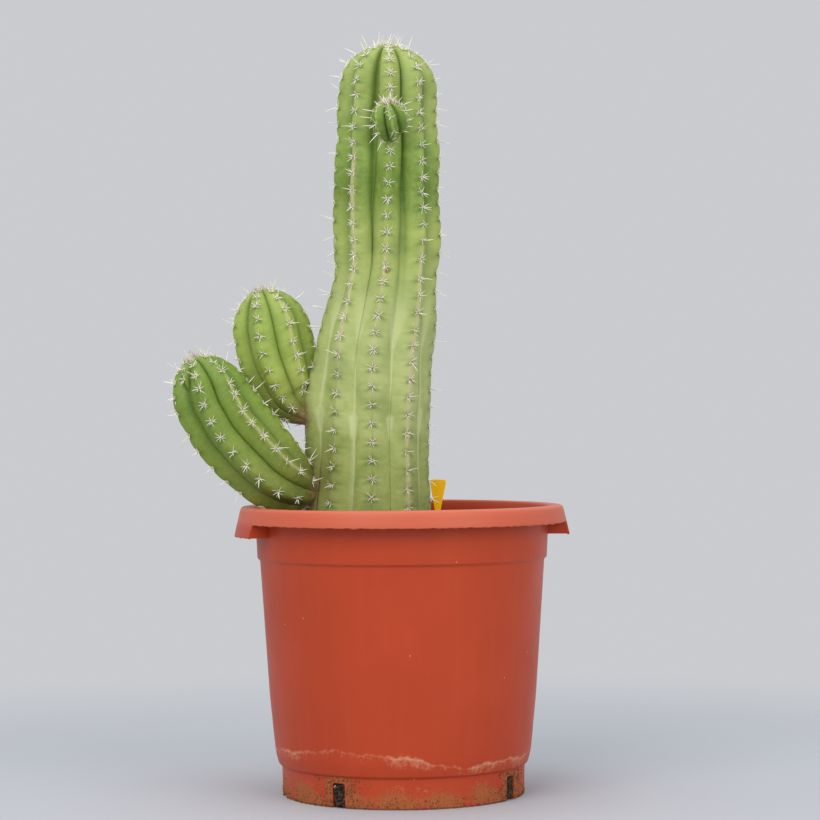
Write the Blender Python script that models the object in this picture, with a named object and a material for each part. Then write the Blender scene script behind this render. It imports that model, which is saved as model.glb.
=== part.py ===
"""Potted ribbed column cactus: a tall stem with two side arms and a small offset, rooted in a nursery pot.

Metres, +Z up. The origin is the centre of the pot's flat base, on the surface that the pot stands on.
-Y is the front of the plant, and azimuths round the pot are counted from the front towards +X.
"""

import math

import bmesh
import bpy
from mathutils import Matrix, Vector

MM = 0.001
GAP = 0.4 * MM  # clearance between pieces that touch in the real plant

# ---- pot: one injection moulding -------------------------------------------------------------
POT_HEIGHT = 287 * MM
POT_BASE_RADIUS = 120 * MM
POT_WALL = 2.5 * MM
POT_FLOOR = 3 * MM
FOOT_HEIGHT = 31 * MM  # the drawn-in band at the bottom
FOOT_TOP_RADIUS = 121.4 * MM
WALL_LOW = (127.0 * MM, 41 * MM)  # radius and height where the straight wall begins
WALL_HIGH = (142.2 * MM, 233 * MM)
COLLAR_LOW = (144.7 * MM, 235.5 * MM)  # the stacking ledge, and the collar above it
COLLAR_HIGH = (146.4 * MM, 270 * MM)
RIM_RADIUS = 161 * MM
RIM_SKIRT_DEPTH = 16 * MM
SKIRT_FLARE = 0.23  # outward run of the skirt for each unit that it falls
RIM_WALL = 2.4 * MM
POT_SIDES = 64

HANDLE_DEPTH = 29 * MM  # how far the deeper skirt of a grip hangs below the rim's top
HANDLE_AZIMUTHS = (-79, 101)
HANDLE_SPAN = 32
HANDLE_PLATE_SPAN = 0.95  # a 2.5 mm end plate at the rim's radius, in degrees
HANDLE_STEPS = 6

SLOT_WIDTH = 14 * MM
SLOT_HEIGHT = 24 * MM
SLOT_REACH = 14 * MM  # how far a drain slot runs in under the base
SLOT_AZIMUTHS = (-31, 60, 150, 240)

# ---- soil and label --------------------------------------------------------------------------
SOIL_TOP = 245 * MM
SOIL_CROWN = 5 * MM  # how far the soil is heaped towards the stem
SOIL_SIDES = 40

LABEL_TOP = Vector((0.0370, 0.044, 0.3112))
LABEL_LENGTH = 110 * MM
LABEL_HEAD_WIDTH = 16 * MM
LABEL_HEAD_HEIGHT = 4 * MM
LABEL_TAPER_HEIGHT = 32 * MM
LABEL_STAKE_WIDTH = 4 * MM
LABEL_POINT_HEIGHT = 12 * MM
LABEL_CORNER = 2 * MM
LABEL_THICKNESS = 0.9 * MM
LABEL_LEAN = 1  # degrees, the head towards +X

# ---- plant -----------------------------------------------------------------------------------
STEM_RIBS = 8
ARM_RIBS = 7
OFFSET_RIBS = 6
POINTS_PER_RIB = 4

# Stem: height, centre X and crest radius, from the buried foot to the shoulder of the dome.
STEM_STATIONS = (
    (0.205, -0.030, 0.036),
    (0.222, -0.030, 0.050),
    (0.246, -0.0295, 0.0570),
    (0.287, -0.0285, 0.0590),
    (0.335, -0.0265, 0.0557),
    (0.372, -0.0265, 0.0548),
    (0.416, -0.0258, 0.0560),
    (0.454, -0.0227, 0.0565),
    (0.477, -0.0195, 0.0550),
    (0.500, -0.0162, 0.0530),
    (0.523, -0.0138, 0.0512),
    (0.552, -0.0135, 0.0538),
    (0.592, -0.0132, 0.0533),
    (0.659, -0.0118, 0.0508),
    (0.703, -0.0108, 0.0485),
)
STEM_BOTTOM = 0.196
STEM_TIP = 0.7465
STEM_RING_STEP = 18 * MM
DOME_RINGS = 5
RIB_DEPTH_LOW = 0.10  # groove depth as a share of the crest radius, swollen at the foot
RIB_DEPTH_HIGH = 0.25
RIB_DEPTH_FROM, RIB_DEPTH_TO = 0.33, 0.56
STEM_PHASE_LOW, STEM_PHASE_HIGH = -2.5, 3.4  # azimuth of the front rib, low and high on the stem
STEM_PHASE_FROM, STEM_PHASE_TO = 0.35, 0.62

# The rib that carries the arms stands out further than its neighbours.
BUTTRESS_AZIMUTH = -88
BUTTRESS_HALF_WIDTH = 40
BUTTRESS_REACH = 14 * MM
BUTTRESS_FROM, BUTTRESS_FULL_LOW, BUTTRESS_FULL_HIGH, BUTTRESS_TO = 0.235, 0.285, 0.385, 0.470

# Arms and offset: centre line point and crest radius, from the neck to the growing tip.
LOWER_ARM = (
    ((-0.0870, -0.0130, 0.3000), 0.018),
    ((-0.0985, -0.0155, 0.3035), 0.0285),
    ((-0.1225, -0.0180, 0.3150), 0.0368),
    ((-0.1497, -0.0180, 0.3428), 0.0410),
    ((-0.1727, -0.0180, 0.3688), 0.0416),
    ((-0.1899, -0.0180, 0.3934), 0.0392),
    ((-0.2010, -0.0180, 0.4160), 0.0312),
    ((-0.2068, -0.0180, 0.4310), 0.0185),
    ((-0.2090, -0.0180, 0.4368), 0.0),
)
LOWER_ARM_PHASE = -17.5
UPPER_ARM = (
    ((-0.0900, 0.0020, 0.3760), 0.016),
    ((-0.0985, 0.0080, 0.3840), 0.0265),
    ((-0.1109, 0.0150, 0.3998), 0.0350),
    ((-0.1207, 0.0165, 0.4249), 0.0400),
    ((-0.1270, 0.0165, 0.4490), 0.0400),
    ((-0.1334, 0.0165, 0.4740), 0.0370),
    ((-0.1385, 0.0165, 0.4905), 0.0285),
    ((-0.1418, 0.0165, 0.5005), 0.0155),
    ((-0.1430, 0.0165, 0.5043), 0.0),
)
UPPER_ARM_PHASE = -19.5
OFFSET = (
    ((-0.0090, -0.0440, 0.6540), 0.0090),
    ((-0.0090, -0.0530, 0.6575), 0.0150),
    ((-0.0090, -0.0600, 0.6635), 0.0185),
    ((-0.0090, -0.0650, 0.6710), 0.0178),
    ((-0.0090, -0.0680, 0.6785), 0.0120),
    ((-0.0090, -0.0695, 0.6830), 0.0),
)
OFFSET_PHASE = 20
ARM_RIB_DEPTH = 0.20
NECK_RIB_DEPTH = 0.05  # the ribs run out at the corky neck

# Roots: azimuth, reach, depth of the tip and thickness at the crown.
ROOTS = (
    (-10, 0.085, 0.050, 0.0085),
    (52, 0.100, 0.085, 0.0070),
    (108, 0.080, 0.040, 0.0080),
    (170, 0.095, 0.070, 0.0075),
    (232, 0.078, 0.060, 0.0070),
    (290, 0.070, 0.045, 0.0080),
)
ROOT_CROWN_RADIUS = 17 * MM
ROOT_CROWN_DEPTH = 26 * MM
ROOT_SIDES = 6
ROOT_STEPS = 6


def material(name, colour, roughness):
    """A plain dielectric material."""
    made = bpy.data.materials.new(name)
    made.use_nodes = True
    shader = made.node_tree.nodes["Principled BSDF"]
    shader.inputs["Base Color"].default_value = (*colour, 1)
    shader.inputs["Roughness"].default_value = roughness
    shader.inputs["Metallic"].default_value = 0
    return made


def solid(name, bm, finish=None, helper=False):
    """Turns a bmesh into an object. A helper only cuts or joins, and isn't a piece."""
    bmesh.ops.remove_doubles(bm, verts=bm.verts, dist=1e-6)
    bmesh.ops.recalc_face_normals(bm, faces=bm.faces)
    mesh = bpy.data.meshes.new(name)
    bm.to_mesh(mesh)
    bm.free()
    obj = bpy.data.objects.new(name, mesh)
    bpy.context.scene.collection.objects.link(obj)
    if finish:
        mesh.materials.append(finish)
        mesh.shade_smooth()
        mesh.set_sharp_from_angle(angle=math.radians(35))
    if helper:
        obj.hide_render = True
        obj.display_type = "WIRE"
    return obj


def boolean(obj, operation, other):
    """Adds an exact Boolean with another object."""
    step = obj.modifiers.new(f"{operation.lower()} {other.name}", "BOOLEAN")
    step.operation = operation
    step.object = other
    step.solver = "EXACT"


def round_the_pot(azimuth):
    """Unit vector from the axis at an azimuth in degrees, counted from the front towards +X."""
    turn = math.radians(azimuth)
    return Vector((math.sin(turn), -math.cos(turn), 0))


def turned(profile, start, span, steps):
    """Spins a profile of (radius, height) points round Z: an open one all the way, or a closed one over a part."""
    bm = bmesh.new()
    whole = span == 360
    outward = round_the_pot(start)
    verts = [bm.verts.new(outward * radius + Vector((0, 0, height))) for radius, height in profile]
    if whole:
        geometry = [bm.edges.new(pair) for pair in zip(verts, verts[1:])] + verts
    else:
        geometry = [bm.faces.new(verts)]
    bmesh.ops.spin(
        bm,
        geom=geometry,
        cent=(0, 0, 0),
        axis=(0, 0, 1),
        angle=math.radians(span),
        steps=steps,
        use_merge=whole,
    )
    return bm


def ramp(value, low, high):
    """Smooth step from 0 at low to 1 at high."""
    share = min(1.0, max(0.0, (value - low) / (high - low)))
    return share * share * (3 - 2 * share)


# ---- pot -------------------------------------------------------------------------------------
def skirt_radius(height):
    """Outer radius of the flared rim skirt at a height."""
    return RIM_RADIUS + SKIRT_FLARE * (POT_HEIGHT - height)


def pot_profile():
    """The pot's section, from the middle of the base, up the outside, over the rim and down the inside."""
    skirt_low = POT_HEIGHT - RIM_SKIRT_DEPTH
    under_rim = POT_HEIGHT - RIM_WALL
    edge = 2 * MM
    outside = [
        (0, 0),
        (POT_BASE_RADIUS - edge, 0),
        (POT_BASE_RADIUS, edge),
        (FOOT_TOP_RADIUS, FOOT_HEIGHT - 0.6 * MM),
        (FOOT_TOP_RADIUS + 1.6 * MM, FOOT_HEIGHT),
        WALL_LOW,
        WALL_HIGH,
        COLLAR_LOW,
        COLLAR_HIGH,
        (COLLAR_HIGH[0] + 0.6 * MM, under_rim),
    ]
    rim = [
        (skirt_radius(under_rim) - RIM_WALL, under_rim),
        (skirt_radius(skirt_low) - RIM_WALL, skirt_low),
        (skirt_radius(skirt_low), skirt_low),
        (skirt_radius(POT_HEIGHT - edge), POT_HEIGHT - edge),
        (RIM_RADIUS - edge, POT_HEIGHT),
        (COLLAR_HIGH[0], POT_HEIGHT),
        (COLLAR_HIGH[0] - POT_WALL, POT_HEIGHT - edge),
    ]
    inside = [
        (COLLAR_LOW[0] - POT_WALL, COLLAR_LOW[1] + 1 * MM),
        (WALL_HIGH[0] - POT_WALL, WALL_HIGH[1]),
        (WALL_LOW[0] - POT_WALL, WALL_LOW[1]),
        (FOOT_TOP_RADIUS - POT_WALL, FOOT_HEIGHT),
        (POT_BASE_RADIUS - POT_WALL, POT_FLOOR),
        (0, POT_FLOOR),
    ]
    return outside + rim + inside


def handle_pieces(azimuth):
    """A grip: a stretch of deeper skirt, and a plate at each end that ties it to the wall."""
    low = POT_HEIGHT - HANDLE_DEPTH
    lap = POT_HEIGHT - RIM_SKIRT_DEPTH + 4 * MM
    under_rim = POT_HEIGHT - RIM_WALL / 2
    skirt = [
        (skirt_radius(low) - RIM_WALL, low),
        (skirt_radius(low), low),
        (skirt_radius(lap), lap),
        (skirt_radius(lap) - RIM_WALL, lap),
    ]
    plate = [
        (COLLAR_HIGH[0] - POT_WALL / 2, low),
        (skirt_radius(low) - RIM_WALL / 2, low),
        (skirt_radius(under_rim) - RIM_WALL / 2, under_rim),
        (COLLAR_HIGH[0] - POT_WALL / 2, under_rim),
    ]
    start = azimuth - HANDLE_SPAN / 2
    far = start + HANDLE_SPAN - HANDLE_PLATE_SPAN
    return [
        solid(f"grip_{azimuth}", turned(skirt, start, HANDLE_SPAN, HANDLE_STEPS), helper=True),
        solid(f"grip_plate_a_{azimuth}", turned(plate, start, HANDLE_PLATE_SPAN, 1), helper=True),
        solid(f"grip_plate_b_{azimuth}", turned(plate, far, HANDLE_PLATE_SPAN, 1), helper=True),
    ]


def slot_cutter(azimuth):
    """A block that opens a drain slot through the foot band and the edge of the base."""
    bm = bmesh.new()
    below = 5 * MM
    outer = POT_BASE_RADIUS + 10 * MM
    inner = POT_BASE_RADIUS - SLOT_REACH
    bmesh.ops.create_cube(bm, size=1)
    bmesh.ops.scale(bm, vec=(SLOT_WIDTH, outer - inner, SLOT_HEIGHT + below), verts=bm.verts)
    middle = Vector((0, -(outer + inner) / 2, (SLOT_HEIGHT - below) / 2))
    bmesh.ops.translate(bm, vec=middle, verts=bm.verts)
    turn = Matrix.Rotation(math.radians(azimuth), 4, "Z")
    bmesh.ops.transform(bm, matrix=turn, verts=bm.verts)
    return solid(f"drain_slot_{azimuth}", bm, helper=True)


def build_pot(finish):
    """The pot: wall, foot, collar, rim with two grips, and four drain slots."""
    pot = solid("pot", turned(pot_profile(), 0, 360, POT_SIDES), finish)
    for azimuth in HANDLE_AZIMUTHS:
        for piece in handle_pieces(azimuth):
            boolean(pot, "UNION", piece)
    for azimuth in SLOT_AZIMUTHS:
        boolean(pot, "DIFFERENCE", slot_cutter(azimuth))
    return pot


# ---- plant -----------------------------------------------------------------------------------
def along(stations, value):
    """Catmull-Rom curve through stations whose first number is the parameter, read at one value of it."""
    last = len(stations) - 2
    found = max(i for i in range(last + 1) if stations[i][0] <= value or i == 0)
    before, start = stations[max(0, found - 1)], stations[found]
    end, after = stations[found + 1], stations[min(last + 1, found + 2)]
    t = (value - start[0]) / (end[0] - start[0])

    def read(k):
        span = end[0] - start[0]
        slope_a = (end[k] - before[k]) / (end[0] - before[0]) * span
        slope_b = (after[k] - start[k]) / (after[0] - start[0]) * span
        return (
            (2 * t**3 - 3 * t**2 + 1) * start[k]
            + (t**3 - 2 * t**2 + t) * slope_a
            + (3 * t**2 - 2 * t**3) * end[k]
            + (t**3 - t**2) * slope_b
        )

    return [read(k) for k in range(1, len(start))]


def rib_factor(azimuth, ribs, phase, depth):
    """Share of the crest radius at an azimuth: 1 on a rib's crest, 1 - depth in the groove."""
    turn = (azimuth - phase) * ribs / 360
    off_crest = 2 * abs(turn - round(turn))
    return 1 - depth * off_crest**1.4


def skin(rings):
    """Closes a list of rings of points into one solid. A ring of one point is a pole."""
    bm = bmesh.new()
    made = [[bm.verts.new(point) for point in ring] for ring in rings]
    for low, high in zip(made, made[1:]):
        count = max(len(low), len(high))
        for i in range(count):
            corners = [
                low[i % len(low)],
                low[(i + 1) % len(low)],
                high[(i + 1) % len(high)],
                high[i % len(high)],
            ]
            bm.faces.new(list(dict.fromkeys(corners)))
    for end in (made[0], made[-1]):
        if len(end) > 1:
            bm.faces.new(end)
    return bm


def buttress(height, azimuth):
    """How far the rib that carries the arms stands out beyond the stem's own radius."""
    rise = ramp(height, BUTTRESS_FROM, BUTTRESS_FULL_LOW)
    fall = 1 - ramp(height, BUTTRESS_FULL_HIGH, BUTTRESS_TO)
    off = abs((azimuth - BUTTRESS_AZIMUTH + 180) % 360 - 180) / BUTTRESS_HALF_WIDTH
    return BUTTRESS_REACH * rise * fall * (1 - ramp(off, 0, 1))


def stem_ring(height, centre_x, radius, grow):
    """One level ring of the ribbed stem."""
    phase_share = ramp(height, STEM_PHASE_FROM, STEM_PHASE_TO)
    phase = STEM_PHASE_LOW + (STEM_PHASE_HIGH - STEM_PHASE_LOW) * phase_share
    depth_share = ramp(height, RIB_DEPTH_FROM, RIB_DEPTH_TO)
    depth = RIB_DEPTH_LOW + (RIB_DEPTH_HIGH - RIB_DEPTH_LOW) * depth_share
    count = STEM_RIBS * POINTS_PER_RIB
    points = []
    for i in range(count):
        azimuth = phase + 360 * i / count
        reach = radius * rib_factor(azimuth, STEM_RIBS, phase, depth)
        reach += buttress(height, azimuth) + grow
        points.append(Vector((centre_x, 0, height)) + round_the_pot(azimuth) * reach)
    return points


def stem_bmesh(grow=0.0):
    """The main stem from its buried foot to the dome, with its skin moved out by grow."""
    first, shoulder = STEM_STATIONS[0], STEM_STATIONS[-1]
    rings = [[Vector((first[1], 0, STEM_BOTTOM - grow))]]
    count = round((shoulder[0] - first[0]) / STEM_RING_STEP)
    for i in range(count + 1):
        height = first[0] + (shoulder[0] - first[0]) * i / count
        rings.append(stem_ring(height, *along(STEM_STATIONS, height), grow))
    rise = STEM_TIP - shoulder[0]
    for i in range(1, DOME_RINGS + 1):
        lift = math.sin(math.pi / 2 * i / (DOME_RINGS + 1))
        radius = shoulder[2] * math.sqrt(1 - lift * lift)
        rings.append(stem_ring(shoulder[0] + rise * lift, shoulder[1], radius, grow))
    rings.append([Vector((shoulder[1], 0, STEM_TIP + grow))])
    return skin(rings)


def branch_bmesh(stations, ribs, phase, reference, grow=0.0):
    """A ribbed branch along a centre line that ends in a rounded tip. reference is across the branch."""
    rings = []
    count = ribs * POINTS_PER_RIB
    centres = [Vector(centre) for centre, _ in stations]
    for i, (centre, radius) in enumerate(zip(centres, (r for _, r in stations))):
        if radius == 0:
            heading = (centre - centres[i - 1]).normalized()
            rings.append([centre + heading * grow])
            continue
        ahead = centres[min(i + 1, len(centres) - 1)]
        heading = (ahead - centres[max(i - 1, 0)]).normalized()
        side = reference.cross(heading).normalized()
        back = heading.cross(side)
        depth = NECK_RIB_DEPTH if i < 2 else ARM_RIB_DEPTH
        ring = []
        for k in range(count):
            azimuth = phase + 360 * k / count
            turn = math.radians(azimuth)
            reach = radius * rib_factor(azimuth, ribs, phase, depth) + grow
            ring.append(centre + (side * math.sin(turn) - back * math.cos(turn)) * reach)
        rings.append(ring)
    return skin(rings)


def build_branch(name, stations, ribs, phase, reference, finish, stem_grown):
    """A branch whose neck is trimmed to sit on the stem's skin."""
    branch = solid(name, branch_bmesh(stations, ribs, phase, reference), finish)
    boolean(branch, "DIFFERENCE", stem_grown)
    return branch


def root_line(azimuth, reach, depth, step):
    """A point on one root: it leaves the crown sloping out, then turns down to its tip."""
    share = step / ROOT_STEPS
    crown = Vector((STEM_STATIONS[0][1], 0, STEM_BOTTOM - ROOT_CROWN_DEPTH / 2))
    fall = (crown.z - depth) * (0.25 * share + 0.75 * share * share)
    return crown + round_the_pot(azimuth) * reach * share - Vector((0, 0, fall))


def root_bmesh(azimuth, reach, depth, thickness, grow):
    """One main root, a tapered tube."""
    rings = []
    for step in range(ROOT_STEPS + 1):
        centre = root_line(azimuth, reach, depth, step)
        ahead = root_line(azimuth, reach, depth, step + 1)
        heading = (ahead - centre).normalized()
        side = heading.cross(Vector((0, 0, 1))).normalized()
        over = side.cross(heading)
        radius = thickness * (1 - 0.75 * step / ROOT_STEPS) + grow
        turns = [2 * math.pi * k / ROOT_SIDES for k in range(ROOT_SIDES)]
        rings.append([centre + (side * math.cos(a) + over * math.sin(a)) * radius for a in turns])
    return skin(rings)


def crown_bmesh(grow):
    """The woody root crown under the stem's foot."""
    top = STEM_BOTTOM - GAP + grow
    low = STEM_BOTTOM - ROOT_CROWN_DEPTH - grow
    centre_x = STEM_STATIONS[0][1]
    middle = (top + low) / 2
    reach = ROOT_CROWN_RADIUS + grow
    rings = []
    for height, radius in ((low, 0.45 * reach), (middle, reach), (top, 0.55 * reach)):
        spots = [Vector((centre_x, 0, height)) + round_the_pot(30 * k) * radius for k in range(12)]
        rings.append(spots)
    return skin(rings)


def build_roots(name, finish=None, grow=0.0):
    """The root system: the crown and its main roots joined in one body."""
    helper = finish is None
    roots = solid(name, crown_bmesh(grow), finish, helper=helper)
    for azimuth, reach, depth, thickness in ROOTS:
        piece = solid(
            f"{name}_{azimuth}", root_bmesh(azimuth, reach, depth, thickness, grow), helper=True
        )
        boolean(roots, "UNION", piece)
    return roots


# ---- label and soil --------------------------------------------------------------------------
def label_outline(grow):
    """The label's outline from its top left corner, clockwise: (across, up from the top edge)."""
    half = LABEL_HEAD_WIDTH / 2 + grow
    stake = LABEL_STAKE_WIDTH / 2 + grow
    corner = []
    for k in range(5):
        turn = math.pi / 2 * k / 4
        corner.append((half - LABEL_CORNER * (1 - math.sin(turn)), -LABEL_CORNER * (1 - math.cos(turn))))
    right = corner + [
        (half, -LABEL_HEAD_HEIGHT),
        (stake, -LABEL_HEAD_HEIGHT - LABEL_TAPER_HEIGHT),
        (stake, -LABEL_LENGTH + LABEL_POINT_HEIGHT),
        (0.6 * MM + grow, -LABEL_LENGTH - grow),
    ]
    left = [(-across, up) for across, up in reversed(right)]
    return right + left


def label_bmesh(grow=0.0):
    """The flat label, leaning, with its head up."""
    bm = bmesh.new()
    front = -LABEL_THICKNESS / 2 - grow
    face = bm.faces.new([bm.verts.new((across, front, up)) for across, up in label_outline(grow)])
    made = bmesh.ops.extrude_face_region(bm, geom=[face])
    moved = [item for item in made["geom"] if isinstance(item, bmesh.types.BMVert)]
    bmesh.ops.translate(bm, vec=(0, LABEL_THICKNESS + 2 * grow, 0), verts=moved)
    place = Matrix.Translation(LABEL_TOP) @ Matrix.Rotation(math.radians(LABEL_LEAN), 4, "Y")
    bmesh.ops.transform(bm, matrix=place, verts=bm.verts)
    return bm


def build_soil(finish, stem_grown):
    """Potting soil that fills the pot to below the rim, round the stem, the roots and the label."""
    clear = POT_WALL + GAP
    top_share = (SOIL_TOP - COLLAR_LOW[1]) / (COLLAR_HIGH[1] - COLLAR_LOW[1])
    top_radius = COLLAR_LOW[0] + (COLLAR_HIGH[0] - COLLAR_LOW[0]) * top_share - clear - GAP
    profile = [
        (0, POT_FLOOR + GAP),
        (POT_BASE_RADIUS - clear, POT_FLOOR + GAP),
        (FOOT_TOP_RADIUS - clear, FOOT_HEIGHT),
        (WALL_LOW[0] - clear, WALL_LOW[1] + GAP),
        (WALL_HIGH[0] - clear, WALL_HIGH[1] + GAP),
        (COLLAR_LOW[0] - clear, COLLAR_LOW[1] + 1.5 * MM),
        (top_radius, SOIL_TOP),
        (0.6 * top_radius, SOIL_TOP + 0.4 * SOIL_CROWN),
        (0, SOIL_TOP + SOIL_CROWN),
    ]
    soil = solid("soil", turned(profile, 0, 360, SOIL_SIDES), finish)
    boolean(soil, "DIFFERENCE", stem_grown)
    boolean(soil, "DIFFERENCE", build_roots("roots_grown", grow=GAP))
    boolean(soil, "DIFFERENCE", solid("label_grown", label_bmesh(GAP), helper=True))
    return soil


def clear_scene():
    """Removes whatever the file opened with."""
    for obj in list(bpy.data.objects):
        bpy.data.objects.remove(obj)


def main():
    clear_scene()
    terracotta = material("terracotta_plastic", (0.479, 0.068, 0.028), 0.45)
    skin_green = material("cactus_skin", (0.215, 0.319, 0.081), 0.55)
    earth = material("potting_soil", (0.045, 0.030, 0.020), 0.95)
    wood = material("root_bark", (0.190, 0.115, 0.060), 0.85)
    yellow = material("label_plastic", (0.708, 0.392, 0.003), 0.40)

    stem_grown = solid("stem_grown", stem_bmesh(1.5 * GAP), helper=True)
    front, across = Vector((0, 1, 0)), Vector((1, 0, 0))
    build_pot(terracotta)
    build_soil(earth, stem_grown)
    solid("main_stem", stem_bmesh(), skin_green)
    build_branch("lower_arm", LOWER_ARM, ARM_RIBS, LOWER_ARM_PHASE, front, skin_green, stem_grown)
    build_branch("upper_arm", UPPER_ARM, ARM_RIBS, UPPER_ARM_PHASE, front, skin_green, stem_grown)
    build_branch("offset_shoot", OFFSET, OFFSET_RIBS, OFFSET_PHASE, across, skin_green, stem_grown)
    build_roots("roots", wood)
    solid("plant_label", label_bmesh(), yellow)


main()
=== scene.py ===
"""Potted column cactus: the visible surfaces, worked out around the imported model.

The plant is a column with two arms and a small offset. Every shoot is one closed skin swept along its
centre line, with spines and felt areoles on its ribs. It stands in potting mix in a moulded nursery pot.
"""

import logging
import math
from dataclasses import dataclass
from enum import Enum

import bpy
import numpy as np
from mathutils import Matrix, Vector


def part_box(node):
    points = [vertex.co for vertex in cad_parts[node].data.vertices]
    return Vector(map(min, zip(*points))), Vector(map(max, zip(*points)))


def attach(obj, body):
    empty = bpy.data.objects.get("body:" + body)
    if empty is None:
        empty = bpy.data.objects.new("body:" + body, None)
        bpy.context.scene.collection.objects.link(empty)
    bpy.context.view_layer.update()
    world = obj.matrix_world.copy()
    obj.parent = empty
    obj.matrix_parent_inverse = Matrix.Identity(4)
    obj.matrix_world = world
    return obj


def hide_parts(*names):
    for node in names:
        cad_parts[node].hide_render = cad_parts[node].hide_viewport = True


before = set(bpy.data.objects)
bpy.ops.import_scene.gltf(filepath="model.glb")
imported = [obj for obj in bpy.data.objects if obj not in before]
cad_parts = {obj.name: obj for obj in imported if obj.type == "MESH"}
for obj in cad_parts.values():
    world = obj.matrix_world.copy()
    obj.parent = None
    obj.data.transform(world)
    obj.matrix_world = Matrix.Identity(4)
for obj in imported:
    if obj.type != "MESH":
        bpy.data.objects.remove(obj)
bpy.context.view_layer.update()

MM = 0.001
UP = np.array([0.0, 0.0, 1.0])
FULL_TURN = 2 * math.pi
BODY = "root"
log = logging.getLogger("potted_cactus")


# ---- colour, node and mesh helpers -----------------------------------------------------------
def linear(code: str) -> tuple[float, float, float, float]:
    """Turns an sRGB hex colour into linear RGBA.

    Args:
        code: the colour, such as "#b84b2f".

    Returns:
        Linear red, green, blue and an alpha of 1.
    """
    parts = [int(code[i : i + 2], 16) / 255 for i in (1, 3, 5)]
    return (*(c / 12.92 if c <= 0.04045 else ((c + 0.055) / 1.055) ** 2.4 for c in parts), 1.0)


class Graph:
    """A material and its node tree while it is being built."""

    def __init__(self, name: str) -> None:
        """Makes the material with a plain Principled shader.

        Args:
            name: the finish, as a maker would say it.
        """
        self.material = bpy.data.materials.new(name)
        self.material.use_nodes = True
        self.tree = self.material.node_tree
        self.shader = self.tree.nodes["Principled BSDF"]

    def feed(self, node: bpy.types.Node, inputs: dict) -> None:
        """Sets or links a node's inputs.

        Args:
            node: the node to feed.
            inputs: socket name or number to a value, a hex colour or another node's output.
        """
        for key, value in inputs.items():
            if isinstance(value, bpy.types.NodeSocket):
                self.tree.links.new(value, node.inputs[key])
            else:
                node.inputs[key].default_value = linear(value) if isinstance(value, str) else value

    def add(
        self,
        kind: str,
        inputs: dict | None = None,
        out: int | str = 0,
        stops: tuple = (),
        **settings: object,
    ) -> bpy.types.NodeSocket:
        """Adds a node with its settings and links.

        Args:
            kind: the node's type name.
            inputs: what feed() takes.
            out: the output to return.
            stops: a colour ramp's (position, hex colour) pairs.
            settings: the node's own properties.

        Returns:
            The chosen output socket.
        """
        node = self.tree.nodes.new(kind)
        for key, value in settings.items():
            setattr(node, key, value)
        for i, (position, colour) in enumerate(stops):
            ramp = node.color_ramp.elements
            stop = ramp[i] if i < len(ramp) else ramp.new(position)
            stop.position = position
            stop.color = linear(colour)
        self.feed(node, inputs or {})
        return node.outputs[out]

    def place(self) -> bpy.types.NodeSocket:
        """Object coordinates, in metres."""
        return self.add("ShaderNodeTexCoord", out="Object")

    def mask(self, name: str) -> bpy.types.NodeSocket:
        """One of the mesh's own point values."""
        return self.add("ShaderNodeAttribute", out="Fac", attribute_name=name)

    def noise(
        self, place: bpy.types.NodeSocket, scale: float, detail: float, roughness: float = 0.5
    ) -> bpy.types.NodeSocket:
        """Soft noise whose largest features are about 1 / scale metres."""
        inputs = {"Vector": place, "Scale": scale, "Detail": detail, "Roughness": roughness}
        return self.add("ShaderNodeTexNoise", inputs)

    def cells(self, place: bpy.types.NodeSocket, scale: float) -> bpy.types.NodeSocket:
        """Distance from the middle of the nearest of many random cells, 1 / scale metres apart."""
        return self.add("ShaderNodeTexVoronoi", {"Vector": place, "Scale": scale})

    def spread(
        self, value: object, low: float, high: float, start: float, end: float
    ) -> bpy.types.NodeSocket:
        """Goes from start, where the value is at or under low, to end, where it is at or over high."""
        return self.add("ShaderNodeMapRange", {0: value, 1: low, 2: high, 3: start, 4: end})

    def mix(self, share: object, first: object, second: object) -> bpy.types.NodeSocket:
        """The first colour at a share of 0, the second at 1."""
        return self.add("ShaderNodeMix", {0: share, 6: first, 7: second}, out=2, data_type="RGBA")

    def math(self, operation: str, *values: object, **settings: object) -> bpy.types.NodeSocket:
        """Sum, product or other operation on two or three values."""
        return self.add("ShaderNodeMath", dict(enumerate(values)), operation=operation, **settings)

    def bump(
        self, height: object, strength: float, distance: float, under: bpy.types.NodeSocket | None = None
    ) -> bpy.types.NodeSocket:
        """Relief with a depth in mm, over another relief where one is given."""
        inputs = {"Strength": strength, "Distance": distance * MM, "Height": height}
        return self.add("ShaderNodeBump", inputs | ({"Normal": under} if under else {}), out="Normal")


@dataclass
class Solid:
    """Points and faces of one or more closed bodies, with values on the points."""

    points: np.ndarray
    faces: list
    values: dict


def ring_faces(rows: int, columns: int, first: int = 0) -> list:
    """Quads of a grid whose rows are rings.

    Args:
        rows: how many rings.
        columns: points on each ring.
        first: number of the grid's first point.

    Returns:
        Corner numbers of each quad, facing out when rings run up and columns anticlockwise.
    """
    start = first + np.arange(rows - 1)[:, None] * columns
    here, after = np.arange(columns)[None, :], (np.arange(columns)[None, :] + 1) % columns
    corners = (start + here, start + after, start + columns + after, start + columns + here)
    return np.stack(corners, axis=-1).reshape(-1, 4).tolist()


def closed_faces(rows: int, columns: int) -> list:
    """Faces of a stack of rings with a pole at each end, the poles being the last two points.

    Args:
        rows: how many rings.
        columns: points on each ring.

    Returns:
        Corner numbers of every quad and triangle, facing out.
    """
    here = np.arange(columns)
    after = (here + 1) % columns
    top, pole = (rows - 1) * columns, rows * columns
    foot_fan = np.stack([after, here, np.full(columns, pole)], axis=-1)
    top_fan = np.stack([top + here, top + after, np.full(columns, pole + 1)], axis=-1)
    return ring_faces(rows, columns) + foot_fan.tolist() + top_fan.tolist()


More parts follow.
